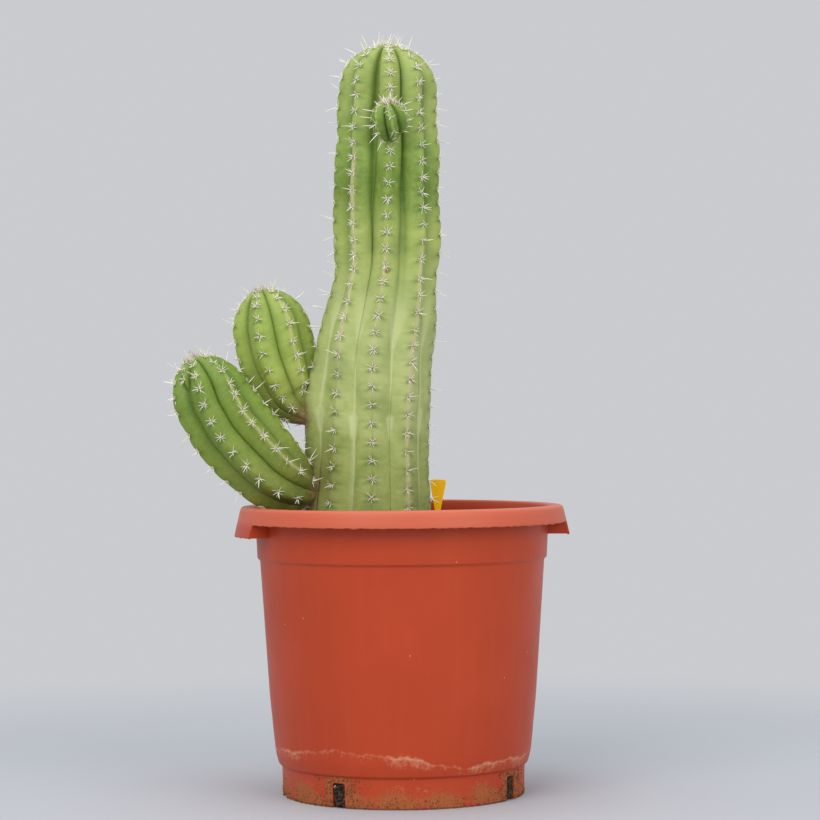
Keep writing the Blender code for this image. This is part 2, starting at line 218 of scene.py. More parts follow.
def closed_skin(grid: np.ndarray, low: np.ndarray, high: np.ndarray, values: dict | None = None) -> Solid:
    """Closes a grid of rings with a pole at each end.

    Args:
        grid: rows by columns by 3 points.
        low: the pole under the first ring.
        high: the pole over the last ring.
        values: name to an array of rows by columns, carried on the points.

    Returns:
        The closed solid.
    """
    rows, columns, _ = grid.shape
    points = np.concatenate([grid.reshape(-1, 3), low[None], high[None]])
    carried = {
        name: np.concatenate([value.ravel(), [value[0].mean(), value[-1].mean()]])
        for name, value in (values or {}).items()
    }
    return Solid(points, closed_faces(rows, columns), carried)


def repeated(points: np.ndarray, faces: list, values: dict | None = None) -> Solid:
    """Joins copies of one small shape into one mesh.

    Args:
        points: copies by points by 3.
        faces: the shape's own faces, as lists of corner numbers.
        values: name to one value for each copy, or to copies by points.

    Returns:
        All the copies as one Solid.
    """
    copies, count, _ = points.shape
    firsts = range(0, copies * count, count)
    shifted = [[first + corner for corner in face] for first in firsts for face in faces]
    carried = {
        name: np.broadcast_to(value.reshape(copies, -1), (copies, count)).ravel()
        for name, value in (values or {}).items()
    }
    return Solid(points.reshape(-1, 3), shifted, carried)


def make_piece(
    name: str, solid: Solid, material: bpy.types.Material, nodes: tuple[str, ...] = ()
) -> bpy.types.Object:
    """Makes a finished piece that rides on the object.

    Args:
        name: the piece's name.
        solid: its mesh.
        material: its finish.
        nodes: CAD nodes that the piece stands for.

    Returns:
        The new object, at the origin.
    """
    mesh = bpy.data.meshes.new(name)
    mesh.from_pydata(solid.points.tolist(), [], solid.faces)
    for key, value in solid.values.items():
        mesh.attributes.new(key, "FLOAT", "POINT").data.foreach_set("value", value.astype(np.float32))
    mesh.materials.append(material)
    mesh.shade_smooth()
    piece = bpy.data.objects.new(name, mesh)
    bpy.context.scene.collection.objects.link(piece)
    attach(piece, BODY)
    if nodes:
        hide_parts(*nodes)
    log.info("%s: %d points, %d faces", name, len(mesh.vertices), len(mesh.polygons))
    return piece


# ---- formulas --------------------------------------------------------------------------------
def ramp(value: np.ndarray, low: float, high: float) -> np.ndarray:
    """Smooth step: 0 up to low, 1 from high, and 3t^2 - 2t^3 between them."""
    share = np.clip((value - low) / (high - low), 0, 1)
    return share * share * (3 - 2 * share)


def bell(distance: np.ndarray, width: float) -> np.ndarray:
    """A bell curve, 1 at distance 0 and 1/e at the width."""
    return np.exp(-((distance / width) ** 2))


def smooth_curve(knots: np.ndarray, values: np.ndarray, at: np.ndarray) -> np.ndarray:
    """Cubic Hermite curve through values at knots, each slope being the mean of its two neighbours'.

    Args:
        knots: rising parameter values.
        values: one row for each knot.
        at: where to read the curve.

    Returns:
        One row for each place read.
    """
    slope = np.gradient(values, knots, axis=0)
    span = np.clip(np.searchsorted(knots, at, side="right") - 1, 0, len(knots) - 2)
    width = (knots[span + 1] - knots[span])[:, None]
    t = (at - knots[span])[:, None] / width
    return (
        (2 * t**3 - 3 * t**2 + 1) * values[span]
        + (t**3 - 2 * t**2 + t) * width * slope[span]
        + (3 * t**2 - 2 * t**3) * values[span + 1]
        + (t**3 - t**2) * width * slope[span + 1]
    )


def read_at(share: np.ndarray, pairs: tuple) -> np.ndarray:
    """Reads (share, value) pairs at every row, as one column."""
    return np.interp(share, *zip(*pairs))[:, None]


def apart(first: np.ndarray, second: np.ndarray | float) -> np.ndarray:
    """Angle between azimuths in degrees, from 0 to 180."""
    return np.abs((first - second + 180) % 360 - 180)


def ripple(azimuth: np.ndarray, along: np.ndarray, seed: int, size: float, waves: int = 7) -> np.ndarray:
    """Smooth unevenness that closes round: a sum of sines of the azimuth and the distance along.

    Args:
        azimuth: angles in radians.
        along: distances in metres, of the same shape or one that broadcasts.
        seed: picks the waves.
        size: the shortest wave along, in metres.
        waves: how many sines are summed.

    Returns:
        Values of about -1 to 1.
    """
    rng = np.random.default_rng(seed)
    total = np.zeros(np.broadcast_shapes(azimuth.shape, along.shape))
    for _ in range(waves):
        turns = rng.integers(0, 6)
        pitch = FULL_TURN / (size * rng.uniform(1, 4))
        total += np.sin(turns * azimuth + pitch * along + rng.uniform(0, FULL_TURN))
    return total / math.sqrt(waves)


def unit(vectors: np.ndarray) -> np.ndarray:
    """Vectors scaled to length 1."""
    return vectors / np.maximum(np.linalg.norm(vectors, axis=-1, keepdims=True), 1e-12)


def round_axis(azimuth: np.ndarray) -> np.ndarray:
    """Unit vectors from the pot's axis at azimuths in radians, counted from the front towards +X."""
    return np.stack([np.sin(azimuth), -np.cos(azimuth), np.zeros_like(azimuth)], axis=-1)


def along_rim(azimuth: np.ndarray) -> np.ndarray:
    """Unit vectors along the pot's rim, at right angles to round_axis()."""
    return np.stack([np.cos(azimuth), np.sin(azimuth), np.zeros_like(azimuth)], axis=-1)


# ---- finishes --------------------------------------------------------------------------------
@dataclass(frozen=True)
class CactusSkin:
    """Living skin of a column cactus: waxy, nearly matt, with fine stretch lines and some cork."""

    name: str
    ages: tuple  # (share of the length back from the tip, hex colour) pairs
    stretch: str = "#cbd39c"  # where the grooves have opened
    hollow_shade: str = "#46691f"  # painted shade: darker green in the depth of a groove
    shade: str = "#4c6e22"  # painted shade in the notch under an areole; also the random dark patches
    bloom: str = "#b3bf86"  # thin grey-green wax, patchy
    cork: str = "#75603c"
    stain_and_shade: str = "#54481f"  # brown-green near a neck, and painted shade where one shoot shades another
    crest: str = "#c9c197"  # pale line along a crest: partly worn skin, partly painted highlight

    def make(self) -> bpy.types.Material:
        """Builds the material from the skin's own point values and Object coordinates.

        Returns:
            The finished material.
        """
        g = Graph(self.name)
        place = g.place()
        masks = ("age", "stretch", "cork", "notch_shade", "groove", "stain_and_shade", "pale_crest_and_highlight")
        mask = {name: g.mask(name) for name in masks}
        # Patches of 25 mm, then mottle of 5 mm, and grain of 0.9 mm.
        patch = g.noise(place, 40.0, 3.0)
        mottle = g.noise(place, 200.0, 4.0)
        grain = g.noise(place, 1100.0, 2.0)
        shifted = g.spread(patch, 0.3, 0.7, -0.03, 0.03)
        aged = g.math("ADD", mask["age"], shifted)
        base = g.add("ShaderNodeValToRGB", {"Fac": aged}, stops=self.ages)
        waxy = g.spread(mottle, 0.42, 0.75, 0.0, 0.25)
        base = g.mix(waxy, base, self.bloom)
        dark = g.spread(patch, 0.44, 0.68, 0.0, 0.28)
        base = g.mix(dark, base, self.shade)
        # Painted shade darkens the grooves.
        base = g.mix(mask["groove"], base, self.hollow_shade)
        base = g.mix(mask["stretch"], base, self.stretch)
        # Painted shade under each areole.
        base = g.mix(mask["notch_shade"], base, self.shade)
        # Brown-green stains and scurf, with painted shade where the arms shade the column.
        base = g.mix(mask["stain_and_shade"], base, self.stain_and_shade)
        # Pale crest lines, partly worn skin and partly painted highlight.
        line = g.spread(mottle, 0.3, 0.6, 0.5, 1.0)
        line = g.math("MULTIPLY", line, mask["pale_crest_and_highlight"])
        base = g.mix(line, base, self.crest)
        # Cork starts as specks and joins into plates where the mask is full.
        ragged = g.math("ADD", mottle, mask["cork"])
        corky = g.spread(ragged, 0.85, 1.15, 0.0, 1.0)
        bark = g.mix(grain, self.cork, "#a38d60")
        base = g.mix(corky, base, bark)
        # Pale pinpoint specks, the stomata in their wax.
        specks = g.cells(place, 420.0)
        speck = g.spread(specks, 0.10, 0.22, 0.22, 0.0)
        base = g.mix(speck, base, "#cfd8a2")
        rough = g.spread(mottle, 0.3, 0.7, 0.44, 0.60)
        height = g.math("MULTIPLY_ADD", corky, 2.5, 1.0)
        relief = g.math("MULTIPLY", grain, height)
        bump = g.bump(relief, 0.35, 0.5)
        bump = g.bump(mottle, 0.4, 1.2, bump)
        g.feed(g.shader, {"Base Color": base, "Roughness": rough, "Normal": bump, "IOR": 1.42})
        g.feed(g.shader, {"Specular IOR Level": 0.35})
        g.feed(g.shader, {"Subsurface Weight": 0.05, "Subsurface Scale": 2.0 * MM})
        return g.material


@dataclass(frozen=True)
class SpineHorn:
    """Hard keratin-like spines: ivory and faintly translucent, brown while they are young."""

    name: str = "ivory_spine"

    def make(self) -> bpy.types.Material:
        """Builds the material.

        Returns:
            The finished material.
        """
        g = Graph(self.name)
        place = g.place()
        youth = g.mask("youth")
        tip = g.mask("tip")
        vary = g.noise(place, 160.0, 2.0)
        ivory = g.mix(vary, "#fffdf3", "#f6efd6")
        brown = g.mix(tip, "#cbb992", "#6d4c38")
        base = g.mix(youth, ivory, brown)
        rough = g.spread(vary, 0.3, 0.7, 0.35, 0.5)
        g.feed(g.shader, {"Base Color": base, "Roughness": rough, "IOR": 1.55})
        return g.material


@dataclass(frozen=True)
class AreoleFelt:
    """Short woolly felt of an areole: cream with a brown heart, fully matt."""

    name: str = "areole_felt"

    def make(self) -> bpy.types.Material:
        """Builds the material.

        Returns:
            The finished material.
        """
        g = Graph(self.name)
        place = g.place()
        heart = g.mask("heart")
        # Wool fibres are 0.02 mm, too fine to show, so the tufts are drawn 0.5 mm wide.
        wool = g.noise(place, 2000.0, 2.0)
        rim = g.mix(wool, "#a79d7f", "#f0ead2")
        base = g.mix(heart, rim, "#705b40")
        bump = g.bump(wool, 0.8, 0.4)
        g.feed(g.shader, {"Base Color": base, "Roughness": 0.95, "Normal": bump, "Sheen Weight": 0.3})
        return g.material


@dataclass(frozen=True)
class TerracottaPolypropylene:
    """Injection-moulded polypropylene with a terracotta pigment: satin, faintly streaked and dusty."""

    name: str = "terracotta_polypropylene"
    body: str = "#b94321"
    # Paler tone of the flow streaks, and the painted light on the rim's top and outer skirt.
    pale_and_lit: str = "#d8745a"
    deep: str = "#a83618"
    lime: str = "#d99d7c"
    earth: str = "#552f1a"
    dust: str = "#ad6238"  # dried earth, ochre

    def make(self) -> bpy.types.Material:
        """Builds the material from Object coordinates and the pot's own wear values.

        Returns:
            The finished material.
        """
        g = Graph(self.name)
        place = g.place()
        crust_mask = g.mask("crust")
        dirt_mask = g.mask("dirt")
        rim_light_mask = g.mask("painted_rim_light")
        cloud = g.noise(place, 14.0, 4.0)
        # Flow streaks run down the wall: the pattern is stretched twenty times along Z.
        drawn = g.add("ShaderNodeMapping", {"Vector": place, "Scale": (1, 1, 0.05)})
        streak = g.noise(drawn, 90.0, 4.0)
        grit = g.noise(place, 500.0, 4.0, 0.65)
        blot = g.noise(place, 260.0, 5.0, 0.65)
        fine = g.noise(place, 900.0, 3.0)
        shade = g.spread(cloud, 0.3, 0.7, 0.0, 0.35)
        base = g.mix(shade, self.body, self.deep)
        chalk = g.spread(streak, 0.45, 0.80, 0.0, 0.05)
        base = g.mix(chalk, base, self.pale_and_lit)
        # Painted light: the rim's top and outer skirt are made paler.
        base = g.mix(rim_light_mask, base, self.pale_and_lit)
        # A few pale scuffs of 1 to 3 mm.
        nick = g.cells(place, 42.0)
        nicked = g.spread(nick, 0.025, 0.045, 0.55, 0.0)
        base = g.mix(nicked, base, "#e0a58c")
        # Lime crust and earth gather where the masks are, broken up by the grit.
        broken = g.math("ADD", blot, crust_mask)
        crust = g.spread(broken, 0.74, 1.20, 0.0, 0.75)
        base = g.mix(crust, base, self.lime)
        smeared = g.math("ADD", grit, dirt_mask)
        dirt = g.spread(smeared, 0.76, 1.02, 0.0, 0.90)
        clod = g.spread(fine, 0.52, 0.66, 0.0, 0.75)
        ochre = g.mix(clod, self.dust, self.earth)
        base = g.mix(dirt, base, ochre)
        soiled = g.math("MAXIMUM", crust, dirt)
        polish = g.spread(cloud, 0.3, 0.7, 0.36, 0.48)
        rough = g.math("MULTIPLY_ADD", soiled, 0.45, polish, use_clamp=True)
        lift = g.math("MULTIPLY", soiled, grit)
        relief = g.math("MULTIPLY_ADD", fine, 0.12, lift)
        bump = g.bump(relief, 0.5, 0.6)
        g.feed(g.shader, {"Base Color": base, "Roughness": rough, "Normal": bump, "IOR": 1.49})
        g.feed(g.shader, {"Specular IOR Level": 0.28})
        return g.material


@dataclass(frozen=True)
class PottingMix:
    """Damp peat with bark fibre and a little grit: almost black brown, no gloss."""

    name: str = "peat_potting_mix"

    def make(self) -> bpy.types.Material:
        """Builds the material.

        Returns:
            The finished material.
        """
        g = Graph(self.name)
        place = g.place()
        crumb = g.cells(place, 300.0)
        wide = g.noise(place, 45.0, 5.0)
        fine = g.noise(place, 900.0, 4.0)
        stops = ((0.0, "#17100a"), (0.45, "#33241a"), (0.70, "#4b3727"), (1.0, "#6e563d"))
        mixed = g.math("MULTIPLY", wide, fine)
        spread = g.spread(mixed, 0.1, 0.45, 0.0, 1.0)
        base = g.add("ShaderNodeValToRGB", {"Fac": spread}, stops=stops)
        relief = g.math("SUBTRACT", fine, crumb)
        bump = g.bump(relief, 0.9, 1.5)
        rough = g.spread(fine, 0.3, 0.7, 0.82, 0.98)
        g.feed(g.shader, {"Base Color": base, "Roughness": rough, "Normal": bump})
        return g.material


@dataclass(frozen=True)
class Grit:
    """Loose mineral or woody grains, each of its own tone."""

    name: str
    light: str
    dark: str

    def make(self) -> bpy.types.Material:
        """Builds the material, with each grain's tone from its own value.

        Returns:
            The finished material.
        """
        g = Graph(self.name)
        place = g.place()
        tone = g.mask("tone")
        pores = g.noise(place, 1400.0, 3.0)
        base = g.mix(tone, self.dark, self.light)
        pitted = g.spread(pores, 0.35, 0.6, 0.5, 0.0)
        base = g.mix(pitted, base, self.dark)
        bump = g.bump(pores, 0.7, 0.4)
        g.feed(g.shader, {"Base Color": base, "Roughness": 0.92, "Normal": bump})
        return g.material


@dataclass(frozen=True)
class LabelPlastic:
    """Die-cut yellow PVC sheet: smooth, satin, scuffed at its edges, with a painted glow that stands in for
    light through it.
    """

    name: str = "yellow_label_pvc"

    def make(self) -> bpy.types.Material:
        """Builds the material.

        Returns:
            The finished material.
        """
        g = Graph(self.name)
        place = g.place()
        cloud = g.noise(place, 90.0, 4.0)
        fine = g.noise(place, 900.0, 2.0)
        base = g.mix(cloud, "#ffc600", "#ffb400")
        dusty = g.spread(fine, 0.6, 0.8, 0.0, 0.15)
        base = g.mix(dusty, base, "#b08b4a")
        rough = g.spread(cloud, 0.3, 0.7, 0.3, 0.45)
        bump = g.bump(fine, 0.2, 0.2)
        g.feed(g.shader, {"Base Color": base, "Roughness": rough, "Normal": bump, "IOR": 1.53})
        g.feed(g.shader, {"Subsurface Weight": 0.8, "Subsurface Scale": 3.0 * MM})
        g.feed(g.shader, {"Subsurface Radius": (1.0, 0.75, 0.05), "Specular IOR Level": 0.2})
        # Painted light: a weak yellow emission makes the sheet glow.
        g.feed(g.shader, {"Emission Color": "#ffb000", "Emission Strength": 0.14})
        return g.material


@dataclass(frozen=True)
class RootBark:
    """Thin scaly bark of the roots, tan and rough."""

    name: str = "root_bark"

    def make(self) -> bpy.types.Material:
        """Builds the material.

        Returns:
            The finished material.
        """
        g = Graph(self.name)
        place = g.place()
        scale = g.noise(place, 350.0, 5.0)
        base = g.mix(scale, "#6b4e30", "#b39468")
        bump = g.bump(scale, 0.8, 0.8)
        g.feed(g.shader, {"Base Color": base, "Roughness": 0.88, "Normal": bump})
        return g.material


@dataclass(frozen=True)
class StudioPaint:
    """Matt pale paint of the studio floor, which thins out to nothing away from the plant."""

    name: str = "studio_floor_paint"
    colour: str = "#bfc3ca"
    fades: tuple = (0.42, 1.25)  # distances in metres over which it thins out

    def make(self) -> bpy.types.Material:
        """Builds the material.

        Returns:
            The finished material.
        """
        g = Graph(self.name)
        place = g.place()
        cloud = g.noise(place, 1.5, 3.0)
        base = g.mix(cloud, self.colour, "#babec5")
        far = g.add("ShaderNodeVectorMath", {0: place}, out="Value", operation="LENGTH")
        start, end = self.fades
        inputs = {0: far, 1: start, 2: end, 3: 1.0, 4: 0.0}
        solid = g.add("ShaderNodeMapRange", inputs, interpolation_type="SMOOTHSTEP")
        g.feed(g.shader, {"Base Color": base, "Roughness": 0.9, "Alpha": solid})
        return g.material


# ---- the plant -------------------------------------------------------------------------------
class Growth(Enum):
    """How a shoot stands in its life, which sets its spines."""

    COLUMN = "column"
    ARM = "arm"
    BABY = "baby"


@dataclass
class RibProfile:
    """How the ribs change along a shoot: (share of its length from foot to tip, value) pairs."""

    depth: tuple  # groove depth as a share of the crest radius
    crease: tuple  # extra narrow cut at the bottom of the groove, as the same share
    sharpness: tuple  # exponent of the flank: 1 is a straight flank, 2 a round one
    wave: tuple  # height of the crenations in mm


@dataclass
class Crest:
    """One rib's crest as arrays, from the foot to the tip."""

    place: np.ndarray
    normal: np.ndarray
    upward: np.ndarray
    count: np.ndarray  # areole number, rising towards the foot


@dataclass
class Shoot:
    """A ribbed shoot: its skin, its felt areoles and its spines.

    The skin is the surface centre(s) + outward(s, a) * r(s, a). Along the shoot, s follows the centre line
    and then a dome that is half an ellipse. Round it, with o from 0 on a rib's crest to 1 in the groove,
    r = crest radius * (1 - depth * o^sharpness - crease * bell(1 - o)). Crenations add
    wave * (0.2 - |2 f - 1|^4) near the crest, where f goes from one areole down to the next.
    """

    name: str
    node: str
    growth: Growth
    ribs: int
    stations: tuple  # x, y, z from the anchor and crest radius, in mm, from the hidden foot to the shoulder
    tip: tuple  # the growing point in mm from the anchor
    phase: tuple  # (share, azimuth of the front rib in degrees)
    profile: RibProfile
    pitch: tuple  # (crest length from the tip, distance between areoles), in mm
    across: tuple = (0.0, 1.0, 0.0)  # a direction that is never along the shoot
    seed: int = 1
    bare: tuple = ()  # (x, y, z, radius) in mm from the anchor: no areole grows here
    corky: tuple = ()  # (x, y, z, radius) in mm from the anchor: scars and necks
    step: float = 1.3  # distance between rows in mm
    columns_per_rib: int = 26
    unevenness: float = 0.6  # in mm
    squeeze: tuple = ((0.0, 0.0), (1.0, 0.0))  # (share, degrees by which the front ribs stand closer)
    stains_and_shade: tuple = ()  # (x, y, z, radius, strength) in mm from the anchor: brown-green smears, some of them painted shade
    groove_shade: tuple = ((0.0, 0.3), (1.0, 0.5))  # (share, how dark the painted shade in the grooves is)
    pale: tuple = ()  # (ribs, share where the pale line starts, where it ends, strength, width) of each; partly worn skin, partly painted highlight
    scurf: tuple = ((0.0, 0.0), (1.0, 0.0))  # (share, how brown the crest is by its areoles)

    def anchor(self) -> np.ndarray:
        """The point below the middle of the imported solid, at its lowest height, in metres."""
        low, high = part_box(self.node)
        return np.array([(low.x + high.x) / 2, (low.y + high.y) / 2, low.z])

    def row_table(self) -> dict[str, np.ndarray]:
        """Works out the rows: centre, crest radius, share of the length, heading, crest length and height.

        Returns:
            Arrays with one entry for each row, in metres, but "rise", the height above the anchor, in mm.
        """
        knots = np.array(self.stations, float) * MM
        knots[:, :3] += self.anchor()
        tip = self.spot(self.tip)
        length = np.concatenate([[0], np.cumsum(np.linalg.norm(np.diff(knots[:, :3], axis=0), axis=1))])
        rows = int(length[-1] / (self.step * MM))
        body = smooth_curve(length, knots, np.linspace(0, length[-1], rows))
        rise = tip - knots[-1, :3]
        turns = int(math.pi / 2 * np.linalg.norm(rise) / (self.step * MM))
        lift = np.linspace(0, math.pi / 2, turns + 1)[1:-1, None]
        dome = np.hstack([knots[-1, :3] + rise * np.sin(lift), knots[-1, 3] * np.cos(lift)])
        table = np.vstack([body, dome])
        centre, radius = table[:, :3], table[:, 3]
        heading = unit(np.gradient(centre, axis=0))
        heading[rows:] = unit(rise)
        walked = np.linalg.norm(np.diff(np.column_stack([centre, radius]), axis=0), axis=1)
        along = np.concatenate([[0], np.cumsum(walked)])
        share = (along / along[-1])[:, None]
        rise = (centre[:, 2] - self.anchor()[2]) / MM
        made = {"centre": centre, "radius": radius, "share": share[:, 0], "heading": heading}
        return made | {"along": along, "rise": rise}

    def spot(self, place: tuple) -> np.ndarray:
        """A place in mm from the anchor, as a point in metres."""
        return self.anchor() + np.array(place) * MM

    def areole_numbers(self, along: np.ndarray) -> np.ndarray:
        """Counts areoles down each rib: the running sum of step over pitch, from the tip.

        Args:
            along: crest length from the foot.

        Returns:
            Rows by ribs of areole numbers, rising towards the foot.
        """
        rng = np.random.default_rng(self.seed + 100)
        from_tip = along[-1] - along
        distance, pitch = np.array(self.pitch).T * MM
        spacing = np.interp(from_tip, distance, pitch)
        steps = np.abs(np.gradient(from_tip)) / spacing
        count = np.cumsum(steps[::-1])[::-1]
        start = (np.arange(self.ribs) % 2) * 0.5 + rng.uniform(-0.15, 0.15, self.ribs)
        return count[:, None] + start[None, :]

    def swell(self, rows: dict, azimuth: np.ndarray) -> np.ndarray:
        """Extra reach of the skin at each point, in metres. A plain shoot has none."""
        return np.zeros_like(azimuth)

    def split(self, rows: dict, off: np.ndarray, turn: np.ndarray) -> np.ndarray:
        """Changes off where a rib forks. A plain shoot has no fork.

        Args:
            rows: the row table.
            off: 0 on a crest to 1 in a groove, for each column.
            turn: azimuth from the first rib in radians, for each column.

        Returns:
            The same measure, for each row and column or for each column.
        """
        return off

    def cuts(self, rows: dict, off: np.ndarray) -> np.ndarray:
        """Share of the crest radius left at each point, before the crenations.

        Args:
            rows: the row table.
            off: 0 on a crest to 1 in a groove.

        Returns:
            Rows by columns of shares.
        """
        profile = self.profile
        depth, crease, power = (
            read_at(rows["share"], pairs) for pairs in (profile.depth, profile.crease, profile.sharpness)
        )
        return 1 - depth * off**power - crease * bell(1 - off, 0.10)

    def skin_grid(self) -> tuple[np.ndarray, dict, list[Crest]]:
        """Works out the skin's grid, the values on its points, and every rib's crest.

        Returns:
            The grid of points, name to values, and the crests.
        """
        rows = self.row_table()
        share, along, radius = rows["share"], rows["along"][:, None], rows["radius"][:, None]
        columns = self.ribs * self.columns_per_rib
        turn = np.arange(columns) / columns * FULL_TURN
        rib_of = (np.arange(columns) / self.columns_per_rib)[None, :]
        off = self.split(rows, 2 * np.abs(rib_of - np.round(rib_of)), turn[None, :])
        # The crests sway a little from side to side, and the front ribs may stand closer.
        sway = 0.05 * np.sin(along / 0.06 + rib_of.round() * 2.3) * np.cos(FULL_TURN * rib_of) ** 2
        phase, squeeze = (np.radians(read_at(share, pairs)) for pairs in (self.phase, self.squeeze))
        azimuth = phase + turn[None, :] - squeeze * np.sin(turn)[None, :]
        azimuth = azimuth + sway * FULL_TURN / self.ribs
        numbers = self.areole_numbers(rows["along"])[:, np.round(rib_of[0]).astype(int) % self.ribs]
        fraction = numbers % 1
        hump = 1 - np.abs(2 * fraction - 1) ** 4
        wave = read_at(share, self.profile.wave) * MM * np.minimum(1, radius / (20 * MM))
        reach = radius * self.cuts(rows, off)
        reach = reach + wave * (hump - 0.80) * (bell(off, 0.26) + 0.40 * bell(off, 0.65))
        uneven = ripple(azimuth, along, self.seed, 30 * MM)
        reach = reach + self.unevenness * MM * uneven * np.minimum(1, radius / (30 * MM))
        reach = reach + self.swell(rows, azimuth)
        side = unit(np.cross(np.array(self.across)[None, :], rows["heading"]))
        back = np.cross(rows["heading"], side)
        to_side, to_back = np.sin(azimuth)[..., None], np.cos(azimuth)[..., None]
        outward = side[:, None, :] * to_side - back[:, None, :] * to_back
        grid = rows["centre"][:, None, :] + outward * reach[..., None]
        off = np.broadcast_to(off, reach.shape)
        values = {
            "age": np.broadcast_to(1 - share[:, None], reach.shape),
            "stretch": self.stretch_marks(rows, off, azimuth),
            "notch_shade": self.chins(off, fraction),
            "groove": read_at(share, self.groove_shade) * ramp(off, 0.45, 1.0),
            "pale_crest_and_highlight": self.pale_crests(rows, off, rib_of),
            "cork": self.marks(grid, tuple((*place, 1.0) for place in self.corky)),
            "stain_and_shade": np.maximum(self.marks(grid, self.stains_and_shade), self.scurfy(rows, off, fraction)),
        }
        return grid, values, self.crests(rows, grid, outward, numbers)

    def stretch_marks(self, rows: dict, off: np.ndarray, azimuth: np.ndarray) -> np.ndarray:
        """Pale lines where the grooves have opened with age. A young shoot has none."""
        return np.zeros_like(azimuth)

    @staticmethod
    def chins(off: np.ndarray, fraction: np.ndarray) -> np.ndarray:
        """Painted shade: dark crescents under the areoles, where each tubercle's chin is in shade, each a bell
        round the line fraction = 0.11 + 0.30 * off.
        """
        return 0.85 * bell(fraction - 0.11 - 0.30 * off, 0.12) * bell(off - 0.08, 0.26)

    def scurfy(self, rows: dict, off: np.ndarray, fraction: np.ndarray) -> np.ndarray:
        """Brown scurf on the crest, narrow between the areoles and wider just above and below each."""
        strong = read_at(rows["share"], self.scurf)
        near = np.minimum(fraction, 1 - fraction)
        return strong * bell(off, 0.05 + 0.09 * bell(near, 0.2)) * (0.35 + 0.65 * bell(near, 0.25))

    def pale_crests(self, rows: dict, off: np.ndarray, rib_of: np.ndarray) -> np.ndarray:
        """Pale lines along some crests, partly worn skin and partly painted highlight, each a bell round the
        crest that fades in and out.

        Args:
            rows: the row table.
            off: 0 on a crest to 1 in a groove.
            rib_of: each column's place round the shoot, in ribs from the front rib.

        Returns:
            Rows by columns of 0 to 1.
        """
        share = rows["share"][:, None]
        rib = np.round(rib_of) % self.ribs
        mask = np.zeros((len(share), rib.shape[-1]))
        for which, start, end, strength, width in self.pale:
            along = ramp(share, start, start + 0.07) * (1 - ramp(share, end - 0.07, end))
            mask = np.maximum(mask, strength * np.isin(rib, which) * along * bell(off, width))
        return mask

    def marks(self, grid: np.ndarray, spots: tuple) -> np.ndarray:
        """The highest of the bells round some spots.

        Args:
            grid: rows by columns by 3 points.
            spots: (x, y, z, radius in mm, strength) of each.

        Returns:
            Rows by columns of 0 to 1.
        """
        mask = np.zeros(grid.shape[:2])
        for x, y, z, radius, strength in spots:
            away = np.linalg.norm(grid - self.spot((x, y, z)), axis=-1)
            mask = np.maximum(mask, strength * bell(away, radius * MM))
        return mask

    def crests(self, rows: dict, grid: np.ndarray, outward: np.ndarray, numbers: np.ndarray) -> list[Crest]:
        """Picks the crest of each rib out of the grid, with its outward and upward directions.

        Args:
            rows: the row table.
            grid: the skin's points.
            outward: the direction from the centre to each point.
            numbers: areole numbers, rows by columns.

        Returns:
            One Crest for each rib.
        """
        found = []
        for rib in range(self.ribs):
            column = rib * self.columns_per_rib
            line = grid[:, column]
            # The trend of the crest, without its crenations, gives the directions.
            trend = rows["centre"] + outward[:, column] * rows["radius"][:, None]
            upward = unit(np.gradient(trend, axis=0))
            sideways = unit(np.cross(upward, outward[:, column]))
            normal = unit(np.cross(sideways, upward))
            found.append(Crest(line, normal, upward, numbers[:, column]))
        return found

    def areoles(self, crests: list[Crest]) -> dict[str, np.ndarray]:
        """Places the areoles where a crest's areole number is whole.

        Args:
            crests: every rib's crest.

        Returns:
            Arrays of place, normal, upward and youth, one entry for each areole.
        """
        parts = {"place": [], "normal": [], "upward": [], "youth": []}
        for crest in crests:
            order = slice(None, None, -1)
            rising = crest.count[order]
            whole = np.arange(math.ceil(rising[0]), math.floor(rising[-1]) + 1)
            for key in ("place", "normal", "upward"):
                line = getattr(crest, key)[order]
                parts[key].append(np.column_stack([np.interp(whole, rising, line[:, k]) for k in range(3)]))
            parts["youth"].append(bell(np.maximum(whole - rising[0] - 0.4, 0), 1.4))
        found = {key: np.concatenate(value) for key, value in parts.items()}
        keep = np.ones(len(found["youth"]), bool)
        for x, y, z, radius in self.bare:
            away = np.linalg.norm(found["place"] - self.spot((x, y, z)), axis=1)
            keep &= away > radius * MM
        found = {key: value[keep] for key, value in found.items()}
        found["normal"] = unit(found["normal"])
        found["upward"] = unit(found["upward"])
        return found

    def build(self, skin: bpy.types.Material, horn: bpy.types.Material, felt: bpy.types.Material) -> None:
        """Makes the shoot's skin, felt and spines.

        Args:
            skin: the living skin.
            horn: the spines' material.
            felt: the areoles' material.
        """
        grid, values, crests = self.skin_grid()
        closed = closed_skin(grid, grid[0].mean(axis=0), self.spot(self.tip), values)
        make_piece(self.name, closed, skin, (self.node,))
        areoles = self.areoles(crests)
        make_piece(f"{self.name}_areoles", felt_pads(areoles, self.seed), felt)
        spines = Spines(self.growth, self.seed).grow(areoles)
        make_piece(f"{self.name}_spines", spines, horn)


